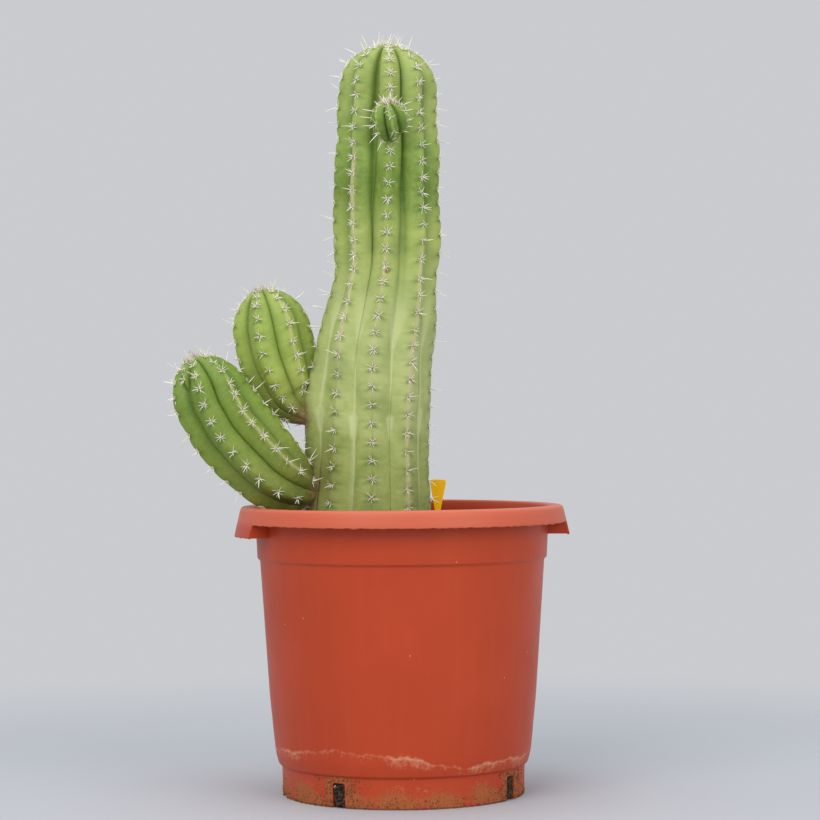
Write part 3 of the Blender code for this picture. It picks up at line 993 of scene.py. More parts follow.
@dataclass
class Column(Shoot):
    """The main stem, with the swollen rib that carries the arms and open, streaked grooves low down."""

    buttress_azimuth: float = -88.0
    buttress_width: float = 40.0  # degrees to each side
    buttress_reach: float = 14.0
    buttress_heights: tuple = (39.0, 89.0, 189.0, 274.0)  # in mm above the anchor

    def swell(self, rows: dict, azimuth: np.ndarray) -> np.ndarray:
        """The rib under the arms stands out by a smooth step in height and in azimuth.

        Args:
            rows: the row table.
            azimuth: each point's azimuth in radians.

        Returns:
            Rows by columns of metres.
        """
        start, full, last, end = self.buttress_heights
        rise = ramp(rows["rise"], start, full) * (1 - ramp(rows["rise"], last, end))
        away = apart(np.degrees(azimuth), self.buttress_azimuth) / self.buttress_width
        return self.buttress_reach * MM * rise[:, None] * (1 - ramp(away, 0, 1))

    def stretch_marks(self, rows: dict, off: np.ndarray, azimuth: np.ndarray) -> np.ndarray:
        """Pale streaks in the opened grooves: two narrow triangles that run down into one thin line.

        Args:
            rows: the row table.
            off: 0 on a crest to 1 in a groove.
            azimuth: each point's azimuth in radians.

        Returns:
            Rows by columns of 0 to 1.
        """
        down = rows["rise"][:, None] + 5 * np.sin(2 * azimuth + 1.5)
        heights = (54, 134, 158, 182, 188, 244, 251, 296, 306, 349)
        width = np.interp(down, heights, (0.04, 0.04, 0.05, 0.26, 0.06, 0.05, 0.07, 0.62, 0.66, 0.7))
        strong = np.interp(down, heights, (0.10, 0.45, 0.80, 0.65, 0.20, 0.55, 0.60, 0.30, 0.14, 0.0))
        thin = np.interp(down, heights, (0.10, 0.55, 0.75, 0.60, 0.65, 0.75, 0.75, 0.45, 0.10, 0.0))
        gap = 1 - off
        return np.clip(np.maximum(strong * np.exp(-((gap / width) ** 4)), thin * bell(gap, 0.035)), 0, 1)


@dataclass
class ForkedArm(Shoot):
    """An arm on which a new, short rib splits one groove in two near the tip."""

    fork_rib: float = -0.5  # where the new rib starts, in ribs from the front rib
    fork_share: tuple = (0.75, 0.90)  # share of the length over which the split opens
    fork_width: float = 0.52  # the new rib's half width when open, as a share of the groove's

    def split(self, rows: dict, off: np.ndarray, turn: np.ndarray) -> np.ndarray:
        """Opens one groove into a V round a new rib.

        With t the distance from that groove's middle to the next crest, from 0 to 1, w the new rib's half
        width and h how far it has risen: off = 1 - h * (1 - t / w) where t < w, and beside it
        off = (1 - t) / (1 - w).

        Args:
            rows: the row table.
            off: 0 on a crest to 1 in a groove, for each column.
            turn: azimuth from the first rib in radians, for each column.

        Returns:
            The new measure, rows by columns.
        """
        spacing = FULL_TURN / self.ribs
        away = turn - self.fork_rib * spacing
        t = np.abs((away + math.pi) % FULL_TURN - math.pi) / (spacing / 2)
        risen = ramp(rows["share"][:, None], *self.fork_share)
        width = np.maximum(self.fork_width * risen, 1e-6)
        beside = np.where(t <= 1, (1 - t) / (1 - width), off)
        return np.clip(np.where(t < width, 1 - risen * (1 - t / width), beside), 0, 1)

    def crests(self, rows: dict, grid: np.ndarray, outward: np.ndarray, numbers: np.ndarray) -> list[Crest]:
        """The plain crests, and the part of the new rib that stands clear.

        Args:
            rows: the row table.
            grid: the skin's points.
            outward: the direction from the centre to each point.
            numbers: areole numbers, rows by columns.

        Returns:
            One Crest for each rib, the new one last.
        """
        found = super().crests(rows, grid, outward, numbers)
        column = round(self.fork_rib * self.columns_per_rib) % (self.ribs * self.columns_per_rib)
        clear = rows["share"] > sum(self.fork_share) / 2
        upward = found[0].upward[clear]
        normal = unit(outward[clear, column] + 0.2 * upward)
        found.append(Crest(grid[clear, column], normal, upward, numbers[clear, column]))
        return found


def felt_pads(areoles: dict[str, np.ndarray], seed: int) -> Solid:
    """Felt cushions, each a low dome of three rings and a pole, wider along the rib than across it.

    Args:
        areoles: places and directions.
        seed: picks their sizes.

    Returns:
        All the cushions of a shoot.
    """
    rng = np.random.default_rng(seed + 7)
    count = len(areoles["youth"])
    sides = 8
    angle = np.arange(sides) / sides * FULL_TURN
    rings = ((1.0, -0.6), (0.95, 0.25), (0.55, 0.85))
    size = rng.uniform(1.25, 1.7, count) * MM
    across = np.cross(areoles["upward"], areoles["normal"])
    layers = []
    for reach, lift in rings:
        rough = 1 + rng.uniform(-0.12, 0.12, (count, sides))
        x = across[:, None] * (np.cos(angle) * reach * rough * size[:, None])[..., None]
        y = areoles["upward"][:, None] * (np.sin(angle) * 1.25 * reach * rough * size[:, None])[..., None]
        z = areoles["normal"][:, None] * (lift * size[:, None])[..., None]
        layers.append(areoles["place"][:, None] + x + y + z)
    poles = [areoles["place"] + areoles["normal"] * (h * size[:, None]) for h in (-0.7, 0.75)]
    points = np.concatenate(layers + [p[:, None] for p in poles], axis=1)
    heart = np.concatenate([np.zeros(sides), np.full(sides, 0.1), np.full(sides, 0.75), [0, 1.0]])
    return repeated(points, closed_faces(3, sides), {"heart": np.broadcast_to(heart, (count, len(heart)))})


@dataclass
class Spines:
    """Spines of a shoot: a ring of short radials and often one long central on each areole.

    A spine is a five-sided taper whose centre line bends: base + direction * l + bend * l^2, with a point at
    its end.
    """

    growth: Growth
    seed: int
    sides: int = 5
    radials: int = 8
    browning: tuple = ((Growth.COLUMN, 0.35), (Growth.ARM, 0.6), (Growth.BABY, 0.35))

    def grow(self, areoles: dict[str, np.ndarray]) -> Solid:
        """Makes every spine of a shoot.

        Args:
            areoles: places, directions and youth.

        Returns:
            All the spines as one mesh.
        """
        rng = np.random.default_rng(self.seed + 40)
        youth = areoles["youth"]
        count = len(youth)
        upward, normal = areoles["upward"], areoles["normal"]
        across = np.cross(upward, normal)
        baby = self.growth is Growth.BABY
        size = 0.95 if baby else 1.0
        # The share of the radials that have grown, and how it changes with youth.
        fewest, more = (0.4, 0.5) if baby else (0.94, -0.3)
        batches = []
        for k in range(self.radials):
            angle = FULL_TURN * (k + rng.uniform(-0.3, 0.3, count)) / self.radials
            flat = across * np.cos(angle)[:, None] + upward * np.sin(angle)[:, None]
            lean = np.radians(rng.uniform(8, 36, count)) + youth * 0.5
            course = flat * np.cos(lean)[:, None] + normal * np.sin(lean)[:, None]
            length = rng.uniform(4.8, 8.2, count) * size * (1 - 0.2 * youth)
            grown = rng.uniform(size=count) < fewest + more * youth
            batches.append((course, length, 0.24 if baby else 0.40, grown, flat))
        for chance in (0.7, 0.3) if baby else (0.9, 0.3):
            tilt = rng.normal(0, 0.28, (count, 2))
            course = normal + across * tilt[:, :1] + upward * tilt[:, 1:]
            course = course + upward * youth[:, None] * 0.8
            length = np.clip(rng.gamma(7.0, 1.75, count), 7.5, 17) * size * (1 - 0.3 * youth)
            grown = rng.uniform(size=count) < chance
            batches.append((unit(course), length, 0.52, grown, -upward))
        points = np.concatenate([self.tapers(areoles, *batch, rng) for batch in batches])
        browned = np.concatenate([youth[grown] for *_, grown, _ in batches])
        browned = browned * dict(self.browning)[self.growth]
        rings = [np.full(self.sides, near) for near in (0.0, 0.35, 0.75)]
        tip = np.broadcast_to(np.concatenate(rings + [[0, 1]]), points.shape[:2])
        return repeated(points, closed_faces(len(rings), self.sides), {"youth": browned, "tip": tip})

    def tapers(
        self,
        areoles: dict,
        course: np.ndarray,
        length: np.ndarray,
        radius: float,
        grown: np.ndarray,
        droop: np.ndarray,
        rng: np.random.Generator,
    ) -> np.ndarray:
        """Works out one batch of spines, at most one for each areole.

        Args:
            areoles: places, directions and youth.
            course: unit direction of each spine.
            length: lengths in mm.
            radius: base radius in mm.
            grown: which areoles have this spine.
            droop: the direction that a spine bends towards.
            rng: the random numbers in use.

        Returns:
            Points by spine: three rings, then the middle of the base and the tip.
        """
        bend = rng.uniform(-0.10, 0.18, len(length))
        shift = rng.uniform(-0.6, 0.6, (len(length), 2)) * MM
        across = np.cross(areoles["upward"], areoles["normal"])
        base = areoles["place"] + across * shift[:, :1] + areoles["upward"] * shift[:, 1:]
        side = unit(np.cross(course, droop + 0.01 * course + 0.02))
        over = np.cross(side, course)
        angle = (np.arange(self.sides) / self.sides * FULL_TURN)[None, :, None]
        circle = side[:, None] * np.cos(angle) - over[:, None] * np.sin(angle)
        layers = []
        for share, thick in ((-0.04, 1.0), (0.35, 0.85), (0.75, 0.5), (-0.05, None), (1.0, None)):
            walked = (length * share * MM)[:, None]
            centre = (base + course * walked + droop * (bend[:, None] * walked * share))[:, None]
            layers.append(centre if thick is None else centre + circle * (radius * thick * MM))
        return np.concatenate(layers, axis=1)[grown]


@dataclass
class Plant:
    """The whole plant: the column, its two arms, its offset, and the hidden roots."""

    def column(self) -> Column:
        """The main stem, from below the soil to its tip.

        Returns:
            The column. Its outline is (height, place across, crest radius) in mm.
        """
        low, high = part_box("main_stem")
        tallness = (high.z - low.z) / MM
        outline = (
            (16, 0, 44), (34, 0.2, 52), (54, 0.5, 56.5), (91, 1.3, 57.5), (114, 2, 56),
            (139, 2.5, 55.4), (166, 3, 55), (212, 4, 56), (258, 7.3, 56.5), (281, 10.7, 55.2),
            (304, 13.8, 53), (327, 16.6, 51.2), (344, 17.2, 52.6), (373, 16.8, 54), (396, 16.6, 53.4),
            (423, 17.3, 52.4), (446, 18, 51.5), (486, 18.1, 49.8), (507, 18.8, 48.4),
        )  # fmt: skip
        pale_lines = (((7,), 0.36, 0.80, 0.9, 0.12), ((1,), 0.10, 0.62, 0.9, 0.12), ((0,), 0.30, 0.62, 0.6, 0.10))
        necks = ((-66, -8, 107, 26), (-64, 4, 178, 20), (21, -50, 459, 6))
        scars = ((-11.5, -46, 325.5, 3.4), (18, -51, 323, 3.2))
        return Column(
            name="column_skin",
            node="main_stem",
            growth=Growth.COLUMN,
            ribs=8,
            stations=tuple((x, 0.0, z, r) for z, x, r in outline),
            tip=(19.2, 0.0, tallness),
            phase=((0.0, -2.8), (0.27, -2.5), (0.70, 2.3), (1.0, 2.0)),
            profile=RibProfile(
                depth=(
                    (0, 0.08), (0.35, 0.10), (0.46, 0.14), (0.60, 0.22), (0.82, 0.26), (0.92, 0.28),
                    (1, 0.30),
                ),  # fmt: skip
                crease=((0, 0.0), (0.46, 0.0), (0.56, 0.03), (0.78, 0.06), (0.88, 0.13), (1, 0.18)),
                sharpness=((0, 1.5), (0.45, 1.35), (0.62, 1.15), (0.85, 1.2), (1, 1.8)),
                wave=((0, 1.3), (0.3, 1.6), (0.6, 1.6), (0.9, 1.5), (1, 0.8)),
            ),
            pitch=((0, 4.5), (12, 8), (30, 13), (60, 15.2), (300, 16.8), (360, 18), (600, 18.8)),
            across=(0.0, 1.0, 0.0),
            seed=3,
            squeeze=((0, 3.0), (0.35, 4.0), (0.6, 6.8), (1, 6.8)),
            groove_shade=((0, 0.0), (0.48, 0.0), (0.6, 0.3), (0.69, 0.6), (0.76, 0.5), (1, 0.45)),
            # The third stain is painted shade on the flank between the arms.
            stains_and_shade=((-67, -8, 104, 24, 0.5), (-62, 4, 172, 22, 0.4), (-54, -24, 126, 30, 0.45)),
            scurf=((0.0, 0.55), (0.50, 0.50), (0.60, 0.12), (1.0, 0.0)),
            pale=pale_lines,
            bare=((-67, -6, 110, 26), (-62, 4, 182, 22), (21, -55, 468, 17), (1, 0, 42, 60)),
            corky=necks + scars,
        )

    def lower_arm(self) -> ForkedArm:
        """The lower, longer arm, which leans out over the rim.

        Returns:
            The arm, from its neck to its tip.
        """
        outline = (
            (72.2, 9.2, 22.2, 9), (64.2, 5.2, 23.2, 14), (56.2, 2.2, 25.7, 24), (43.2, 0.2, 31.7, 33),
            (30.2, -0.8, 40.2, 37.6), (13.2, -0.8, 56.7, 41), (-7.2, -0.8, 78.2, 42.3),
            (-31.2, -0.8, 110.2, 41.2),
        )  # fmt: skip
        return ForkedArm(
            name="lower_arm_skin",
            node="lower_arm",
            growth=Growth.ARM,
            ribs=7,
            stations=outline,
            tip=(-52.8, -0.8, 156.7),
            phase=((0, -21), (0.55, -18), (0.8, -5), (1, 0)),
            profile=RibProfile(
                depth=((0, 0.05), (0.15, 0.20), (0.5, 0.26), (1, 0.28)),
                crease=((0, 0.02), (0.2, 0.04), (0.8, 0.06), (1, 0.12)),
                sharpness=((0, 1.3), (0.3, 1.1), (0.8, 1.1), (1, 1.6)),
                wave=((0, 0.8), (0.3, 1.5), (0.8, 1.5), (1, 0.9)),
            ),
            pitch=((0, 4.5), (12, 9), (30, 14), (60, 16), (100, 17.8), (300, 19)),
            seed=11,
            # Brown-green near the neck, and painted shade low on the arm's underside.
            stains_and_shade=((34.2, 3.2, -2.8, 26, 0.7), (66.2, 5.2, 22.2, 30, 0.55), (-5.8, 7.2, 22.2, 36, 0.3)),
            bare=((68.2, 7.2, 23.2, 17),),
            corky=((68.2, 7.2, 22.2, 24), (42.2, -0.8, 5.2, 16)),
            step=1.2,
            columns_per_rib=28,
            pale=(((1,), 0.1, 0.8, 0.6, 0.09),),
            fork_rib=-0.5,
        )

    def upper_arm(self) -> Shoot:
        """The upper, shorter arm, close against the column.

        Returns:
            The arm, from its neck to its tip.
        """
        outline = (
            (38.8, -15.5, 8.5, 8), (31.8, -12.5, 13.5, 12), (23.8, -7.5, 21.5, 22), (16.8, -3.5, 30, 29.5),
            (10.3, -1.5, 42.5, 35), (4.3, -1, 57.5, 38.8), (-1.7, -1, 74.5, 40.5), (-7.2, -1, 96.5, 39.8),
        )  # fmt: skip
        return Shoot(
            name="upper_arm_skin",
            node="upper_arm",
            growth=Growth.ARM,
            ribs=7,
            stations=outline,
            tip=(-17.7, -1, 140),
            phase=((0, -22), (0.5, -19), (1, -11)),
            profile=RibProfile(
                depth=((0, 0.05), (0.2, 0.18), (0.5, 0.21), (1, 0.25)),
                crease=((0, 0.02), (0.2, 0.04), (0.8, 0.07), (1, 0.13)),
                sharpness=((0, 1.4), (0.3, 1.2), (0.8, 1.2), (1, 1.8)),
                wave=((0, 0.8), (0.3, 1.5), (0.8, 1.5), (1, 0.9)),
            ),
            pitch=((0, 4.5), (12, 9), (30, 14), (60, 17), (300, 18)),
            seed=23,
            # The pale line on rib 1 is a painted highlight where the rib catches the light.
            pale=(((1,), 0.15, 0.85, 0.55, 0.10),),
            stains_and_shade=((36.8, -11.5, 10.5, 24, 0.8), (10.8, -11.5, 8.5, 22, 0.6)),
            bare=((34.8, -13.5, 10.5, 16),),
            corky=((34.8, -13.5, 9.5, 22),),
            step=1.2,
            columns_per_rib=28,
        )

    def offset(self) -> Shoot:
        """The small young offset on the front rib.

        Returns:
            The offset, from its neck to its tip.
        """
        outline = (
            (0, 20.3, 7.2, 6), (0, 15.3, 9.2, 10), (0, 8.8, 12.7, 15.2), (0, 2.8, 18.2, 18.4),
            (0, -2.2, 23.7, 18.4),
        )  # fmt: skip
        return Shoot(
            name="offset_skin",
            node="offset_shoot",
            growth=Growth.BABY,
            ribs=6,
            stations=outline,
            tip=(0, -7.7, 37.7),
            phase=((0, 4), (0.45, -12), (0.8, -34), (1, -55)),
            profile=RibProfile(
                depth=((0, 0.10), (0.3, 0.32), (1, 0.40)),
                crease=((0, 0.02), (0.3, 0.12), (1, 0.16)),
                sharpness=((0, 1.1), (1, 1.3)),
                wave=((0, 0.4), (0.5, 0.7), (1, 0.4)),
            ),
            pitch=((0, 3.5), (10, 6), (25, 9), (60, 10)),
            across=(1.0, 0.0, 0.0),
            seed=31,
            # Pale lines on every rib: a painted highlight on the crests.
            pale=((tuple(range(6)), 0.1, 1.2, 0.75, 0.16),),
            bare=((0, 20.3, 7.2, 9),),
            corky=((0, 17.3, 5.2, 7),),
            step=0.8,
            columns_per_rib=20,
            unevenness=0.3,
        )

    def skins(self) -> tuple[CactusSkin, ...]:
        """Skins of the column, the lower arm, the upper arm and the offset.

        Returns:
            Four finishes, each with its colours from the tip back to the foot.
        """
        column = (
            (0.0, "#9bad60"), (0.14, "#9dae5e"), (0.18, "#97ab56"), (0.24, "#8fa94e"), (0.31, "#718b33"),
            (0.38, "#a9b962"), (0.50, "#a1b064"), (0.58, "#b2be7a"), (0.68, "#aeba74"), (0.79, "#9aa75a"),
            (0.90, "#929c56"),
        )  # fmt: skip
        lower = ((0.0, "#869c4b"), (0.2, "#748f38"), (0.5, "#7c9137"), (0.8, "#7b8636"), (1.0, "#707030"))
        upper = ((0.0, "#98ab56"), (0.3, "#99ae52"), (0.6, "#a3b454"), (0.85, "#99a24e"), (1.0, "#7d7840"))
        baby = ((0.0, "#829e44"), (0.5, "#6d8d36"), (1.0, "#637a34"))
        return (
            CactusSkin("column_skin_wax", column),
            CactusSkin("lower_arm_skin_wax", lower, bloom="#98ac66"),
            CactusSkin("upper_arm_skin_wax", upper, bloom="#a9bb74"),
            CactusSkin("offset_skin_wax", baby, hollow_shade="#2c4714", bloom="#9bb365", crest="#a8c060"),
        )

    def build(self) -> None:
        """Makes every shoot and dresses the roots."""
        horn = SpineHorn().make()
        felt = AreoleFelt().make()
        shoots = (self.column(), self.lower_arm(), self.upper_arm(), self.offset())
        for shoot, skin in zip(shoots, self.skins()):
            shoot.build(skin.make(), horn, felt)
        roots = bpy.data.objects["roots"]
        roots.data.materials.clear()
        roots.data.materials.append(RootBark().make())
        log.info("roots: bark on the packed solid")


# ---- pot, soil and label ---------------------------------------------------------------------
def arc_corner(points: list, radii: list, steps: int = 4) -> np.ndarray:
    """Rounds the corners of an open outline with arcs.

    Each corner is replaced by a curve that leaves one side and joins the next at the radius' distance: the
    quadratic curve a(1-t)^2 + 2b t(1-t) + c t^2, which is close to an arc.

    Args:
        points: (radius, height) pairs in mm.
        radii: how far from each corner its curve starts; 0 keeps the corner.
        steps: pieces of each curve.

    Returns:
        The finer outline in metres.
    """
    made = []
    for i, (point, radius) in enumerate(zip(points, radii)):
        corner = np.array(point, float)
        if radius == 0 or i in (0, len(points) - 1):
            made.append(corner)
            continue
        before = corner + unit(np.array(points[i - 1], float) - corner) * radius
        after = corner + unit(np.array(points[i + 1], float) - corner) * radius
        for t in np.linspace(0, 1, steps + 1):
            made.append(before * (1 - t) ** 2 + 2 * corner * t * (1 - t) + after * t**2)
    return np.array(made) * MM


def finer(outline: np.ndarray, longest: np.ndarray) -> np.ndarray:
    """Adds points along an outline so that no stretch is longer than asked.

    Args:
        outline: points in metres.
        longest: the greatest distance between points on each stretch of it.

    Returns:
        The finer outline.
    """
    made = [outline[:1]]
    for start, end, limit in zip(outline, outline[1:], longest):
        pieces = max(1, math.ceil(np.linalg.norm(end - start) / limit))
        share = np.linspace(0, 1, pieces + 1)[1:, None]
        made.append(start + (end - start) * share)
    return np.concatenate(made)


@dataclass
class NurseryPot:
    """The moulded pot: tapered wall, foot band with drain slots, ledge, collar, flared rim and two grips."""

    height: float = 0.0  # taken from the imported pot
    rim_radius: float = 0.0  # at the top edge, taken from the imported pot
    base_radius: float = 120.0
    foot_radius: float = 121.0  # halfway up the foot band
    wall: float = 2.5
    skirt_depth: float = 16.0
    grip_depth: float = 29.0
    flare: float = 0.23
    rim_wall: float = 2.4
    grip_azimuths: tuple = (-79.0, 101.0)
    grip_span: float = 32.0
    slot_azimuths: tuple = (-31.0, 60.0, 150.0, 240.0)
    slot_width: float = 14.0
    slot_height: float = 24.0
    slot_corner: float = 2.5
    plate: float = 2.4  # thickness of the plates that close the grips' ends
    columns: int = 500
    side: tuple = ((0, 120), (31, 121.4), (42, 127.2), (99, 133), (233, 142.2), (236, 144.8), (270, 146.4))

    def __post_init__(self) -> None:
        """Takes the height and the rim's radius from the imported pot."""
        low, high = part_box("pot")
        self.height = (high.z - low.z) / MM
        self.rim_radius = (high.y - low.y) / 2 / MM - self.flare * self.skirt_depth

    def skirt(self, height: float) -> float:
        """Outer radius of the skirt at a height, in mm."""
        return self.rim_radius + self.flare * (self.height - height)

    def outline(self) -> np.ndarray:
        """The section from the middle of the base, up the outside, over the rim and down the inside.

        Returns:
            (radius, height) pairs in metres, from corners with the radius of their rounding in mm.
        """
        top, low = self.height, self.height - self.skirt_depth
        under = top - self.rim_wall
        outside = [
            ((0, 0), 0), ((116, 0), 0), ((120, 0), 2.5), ((121.2, 29.8), 0.8), ((124.2, 31.6), 1.2),
            ((127.2, 42), 5), ((129.3, 62), 0), ((133, 99), 0), ((142.2, 233.2), 0.8), ((144.8, 235.6), 0.8),
            ((146.4, 270), 0), ((147, under), 1.0),
        ]  # fmt: skip
        skirt = [
            ((self.skirt(under) - self.rim_wall, under), 1.0), ((self.skirt(low) - self.rim_wall, low), 0.5),
            ((self.skirt(low), low), 0.7), ((self.rim_radius, top), 2.6), ((146.2, top), 2.2),
            ((144, 270), 0),
        ]  # fmt: skip
        inside = [
            ((144.8, 236.4), 0.6), ((142.2, 233.8), 0.6), ((133, 99), 0), ((127.2, 42), 4),
            ((121.4, 31), 1.5), ((120, 3), 1.5),
        ]  # fmt: skip
        inside = [((radius - self.wall, height), corner) for (radius, height), corner in inside]
        corners = outside + skirt + inside + [((0, 3), 0)]
        rounded = arc_corner([c for c, _ in corners], [r for _, r in corners], 3)[1:-1]
        middle = (rounded[1:, 1] + rounded[:-1, 1]) / 2 / MM
        outer = np.arange(len(middle)) < np.argmax(middle)
        # The foot and the tide line need close rows; the inside hardly any.
        return finer(rounded, np.where(outer, np.where(middle < 62, 1.4, 6.0), 14.0) * MM)

    def grip(self, azimuth: np.ndarray) -> np.ndarray:
        """1 within a grip and 0 outside it, with a step half a degree wide at each end.

        Args:
            azimuth: the columns' azimuths in degrees.

        Returns:
            One value for each column.
        """
        found = np.zeros_like(azimuth)
        half = self.grip_span / 2
        for middle in self.grip_azimuths:
            found = np.maximum(found, 1 - ramp(apart(azimuth, middle), half - 0.25, half + 0.25))
        return found

    def columns_at(self) -> np.ndarray:
        """Azimuths of the grid's columns in degrees, closer together at the ends of the grips."""
        even = np.linspace(-180, 180, self.columns, endpoint=False)
        ends = [middle + side * self.grip_span / 2 for middle in self.grip_azimuths for side in (-1, 1)]
        steps = [end + step for end in ends for step in (-0.25, 0, 0.25)]
        return np.unique(np.concatenate([even, (np.array(steps) + 180) % 360 - 180]))

    def shell(self) -> Solid:
        """The whole moulding as one closed skin, turned from the outline.

        The skirt's height is drawn down within a grip, in proportion to how low a point of the skirt is, and
        its lower edge carries a ragged moulding flash.

        Returns:
            The moulding without its drain slots.
        """
        outline = self.outline()
        azimuth = self.columns_at()
        turn = np.radians(azimuth)[None, :]
        radius, height = outline[:, :1], outline[:, 1:]
        top = self.height * MM
        on_skirt = (radius > 149 * MM) & (height > 240 * MM)
        down = np.where(on_skirt, np.clip((top - height) / (self.skirt_depth * MM), 0, 1), 0)
        drop = down * self.grip(azimuth)[None, :] * (self.grip_depth - self.skirt_depth) * MM
        lip = np.where(on_skirt, ramp(down, 0.93, 1.0), 0)
        ragged = ripple(turn, np.zeros_like(turn), 5, 1.0) + 0.8 * ripple(turn * 9, turn * 0.4, 6, 0.02, 12)
        flash = lip * np.clip(0.3 + 0.5 * ragged, -0.1, 1.6) * MM
        z = height - drop - flash
        out = 0.5 * MM * np.sin(2 * turn + 0.6) + 0.25 * MM * np.sin(3 * turn + 2.0)
        out = out * ramp(height, 30 * MM, 250 * MM)
        rim_wave = 0.35 * MM * np.sin(2 * turn + 1.1) * ramp(height, 270 * MM, 287 * MM)
        r = radius + self.flare * drop + out
        grid = round_axis(turn) * r[..., None]
        grid[..., 2] = z + rim_wave
        values = self.wear(grid, azimuth)
        base, floor = np.zeros(3), np.array([0, 0, 3 * MM])
        return closed_skin(grid, base, floor, values)

    def wear(self, grid: np.ndarray, azimuth: np.ndarray) -> dict[str, np.ndarray]:
        """Where lime and earth have marked the moulding, and where light is painted on the rim.

        Args:
            grid: the shell's points.
            azimuth: each column's azimuth in degrees.

        Returns:
            Name to rows by columns of 0 to 1.
        """
        z = grid[..., 2] / MM
        turn = np.radians(azimuth)[None, :]
        tide = 49 + 6 * np.cos(2 * turn + 0.7) + 1.1 * np.sin(9 * turn + 0.5) + 0.9 * np.sin(21 * turn)
        tide = tide + 0.6 * np.sin(47 * turn + 1.0) - 9 * bell(apart(azimuth, 24), 26)[None, :]
        far = np.linalg.norm(grid[..., :2], axis=-1) / MM
        inside = far < np.interp(z, [0, 31, 42, 233, 287], [118, 120, 125.5, 140.5, 145.5])
        patchy = ramp(ripple(turn * 3, z * 0.4 * MM, 12, 60 * MM, 9), -0.5, 0.6)
        line = (0.36 * bell(z - tide, 1.3) + 0.38 * bell(z - tide + 3, 8)) * (0.55 + 0.45 * patchy)
        crust = np.maximum(line, 0.22 * (1 - ramp(z, 20, 36)) * patchy)
        dirt = 0.36 * (1 - ramp(z, 14, 33)) + 0.42 * (1 - ramp(z, 6, 17))
        dirt = dirt * (0.85 + 0.35 * ripple(turn * 3, z * MM, 15, 30 * MM))
        for middle in self.slot_azimuths:
            away = apart(azimuth, middle)[None, :] * math.radians(1) * self.foot_radius
            near = np.hypot(np.maximum(away - 6, 0), np.maximum(z - 22, 0))
            dirt = np.maximum(dirt, 0.55 * bell(near, 7) + 0.3 * bell(near, 20))
        crust, dirt = np.where(inside, 0.1, crust), np.where(inside, 0.35, dirt)
        # Painted light on the rim's top and outer skirt.
        painted_rim_light = 0.35 * ramp(z, 283, 286.5) + 0.5 * ramp(z, 268, 272) * (far > 151)
        return {"crust": np.clip(crust, 0, 1), "dirt": np.clip(dirt, 0, 1), "painted_rim_light": painted_rim_light}

    def slot_cores(self) -> Solid:
        """The cores that leave the drain slots: arches with rounded corners, pushed through the foot band.

        Returns:
            One core for each slot.
        """
        half, low, high = self.slot_width / 2 * MM, -5 * MM, self.slot_height * MM
        corner = self.slot_corner * MM
        turn = np.linspace(0, math.pi / 2, 5)
        arch = [(half - corner * (1 - math.cos(t)), high - corner * (1 - math.sin(t))) for t in turn]
        face = np.array([(half, low)] + arch + [(-x, z) for x, z in reversed(arch)] + [(-half, low)])
        count = len(face)
        cores = []
        for azimuth in np.radians(self.slot_azimuths):
            flat = along_rim(azimuth) * face[:, :1] + UP * face[:, 1:]
            reaches = ((self.base_radius - 14) * MM, (self.base_radius + 12) * MM)
            cores.append(np.concatenate([round_axis(azimuth) * reach + flat for reach in reaches]))
        lids = [list(range(count - 1, -1, -1)), list(range(count, 2 * count))]
        return repeated(np.array(cores), ring_faces(2, count) + lids)

    def cut_slots(self, piece: bpy.types.Object) -> None:
        """Cuts the four drain slots and keeps the result as the piece's mesh.

        Args:
            piece: the moulding.
        """
        cores = self.slot_cores()
        cutter_mesh = bpy.data.meshes.new("slot_cutter")
        cutter_mesh.from_pydata(cores.points.tolist(), [], cores.faces)
        cutter = bpy.data.objects.new("slot_cutter", cutter_mesh)
        bpy.context.scene.collection.objects.link(cutter)
        cut = piece.modifiers.new("slots", "BOOLEAN")
        cut.operation = "DIFFERENCE"
        cut.object = cutter
        bpy.context.view_layer.update()
        seen = piece.evaluated_get(bpy.context.evaluated_depsgraph_get())
        finished = bpy.data.meshes.new_from_object(seen)
        piece.modifiers.clear()
        piece.data = finished
        bpy.data.objects.remove(cutter)

    def grip_plates(self) -> Solid:
        """The radial plates that close the ends of each grip: flat boxes from the wall to the skirt.

        Returns:
            Two plates for each grip.
        """
        low, top = self.height - self.grip_depth, self.height - self.rim_wall / 2
        half = self.plate / 2
        corners = np.array([
            (self.wall_radius(low) - 1, low), (self.skirt(low) - half, low), (self.skirt(top) - half, top),
            (146, top),
        ]) * MM  # fmt: skip
        boxes = []
        for middle in self.grip_azimuths:
            for side in (-1, 1):
                azimuth = np.radians(middle + side * (self.grip_span / 2 - 0.45))
                sideways = along_rim(azimuth) * half * MM
                flat = round_axis(azimuth) * corners[:, :1] + UP * corners[:, 1:]
                boxes.append(np.concatenate([flat - sideways, flat + sideways]))
        faces = [(3, 2, 1, 0), (4, 5, 6, 7), (0, 1, 5, 4), (1, 2, 6, 5), (2, 3, 7, 6), (3, 0, 4, 7)]
        return repeated(np.array(boxes), faces)

    def wall_radius(self, height: float) -> float:
        """Outer radius of the wall or collar at a height, in mm."""
        return float(np.interp(height, *zip(*self.side)))

    def build(self) -> None:
        """Makes the pot and its grip plates."""
        plastic = TerracottaPolypropylene().make()
        shell = make_piece("nursery_pot", self.shell(), plastic, ("pot",))
        self.cut_slots(shell)
        shell.data.set_sharp_from_angle(angle=math.radians(50))
        plates = make_piece("grip_end_plates", self.grip_plates(), plastic)
        plates.data.shade_flat()
        edge = plates.modifiers.new("soft_edges", "BEVEL")
        edge.width = 0.4 * MM
        edge.segments = 2


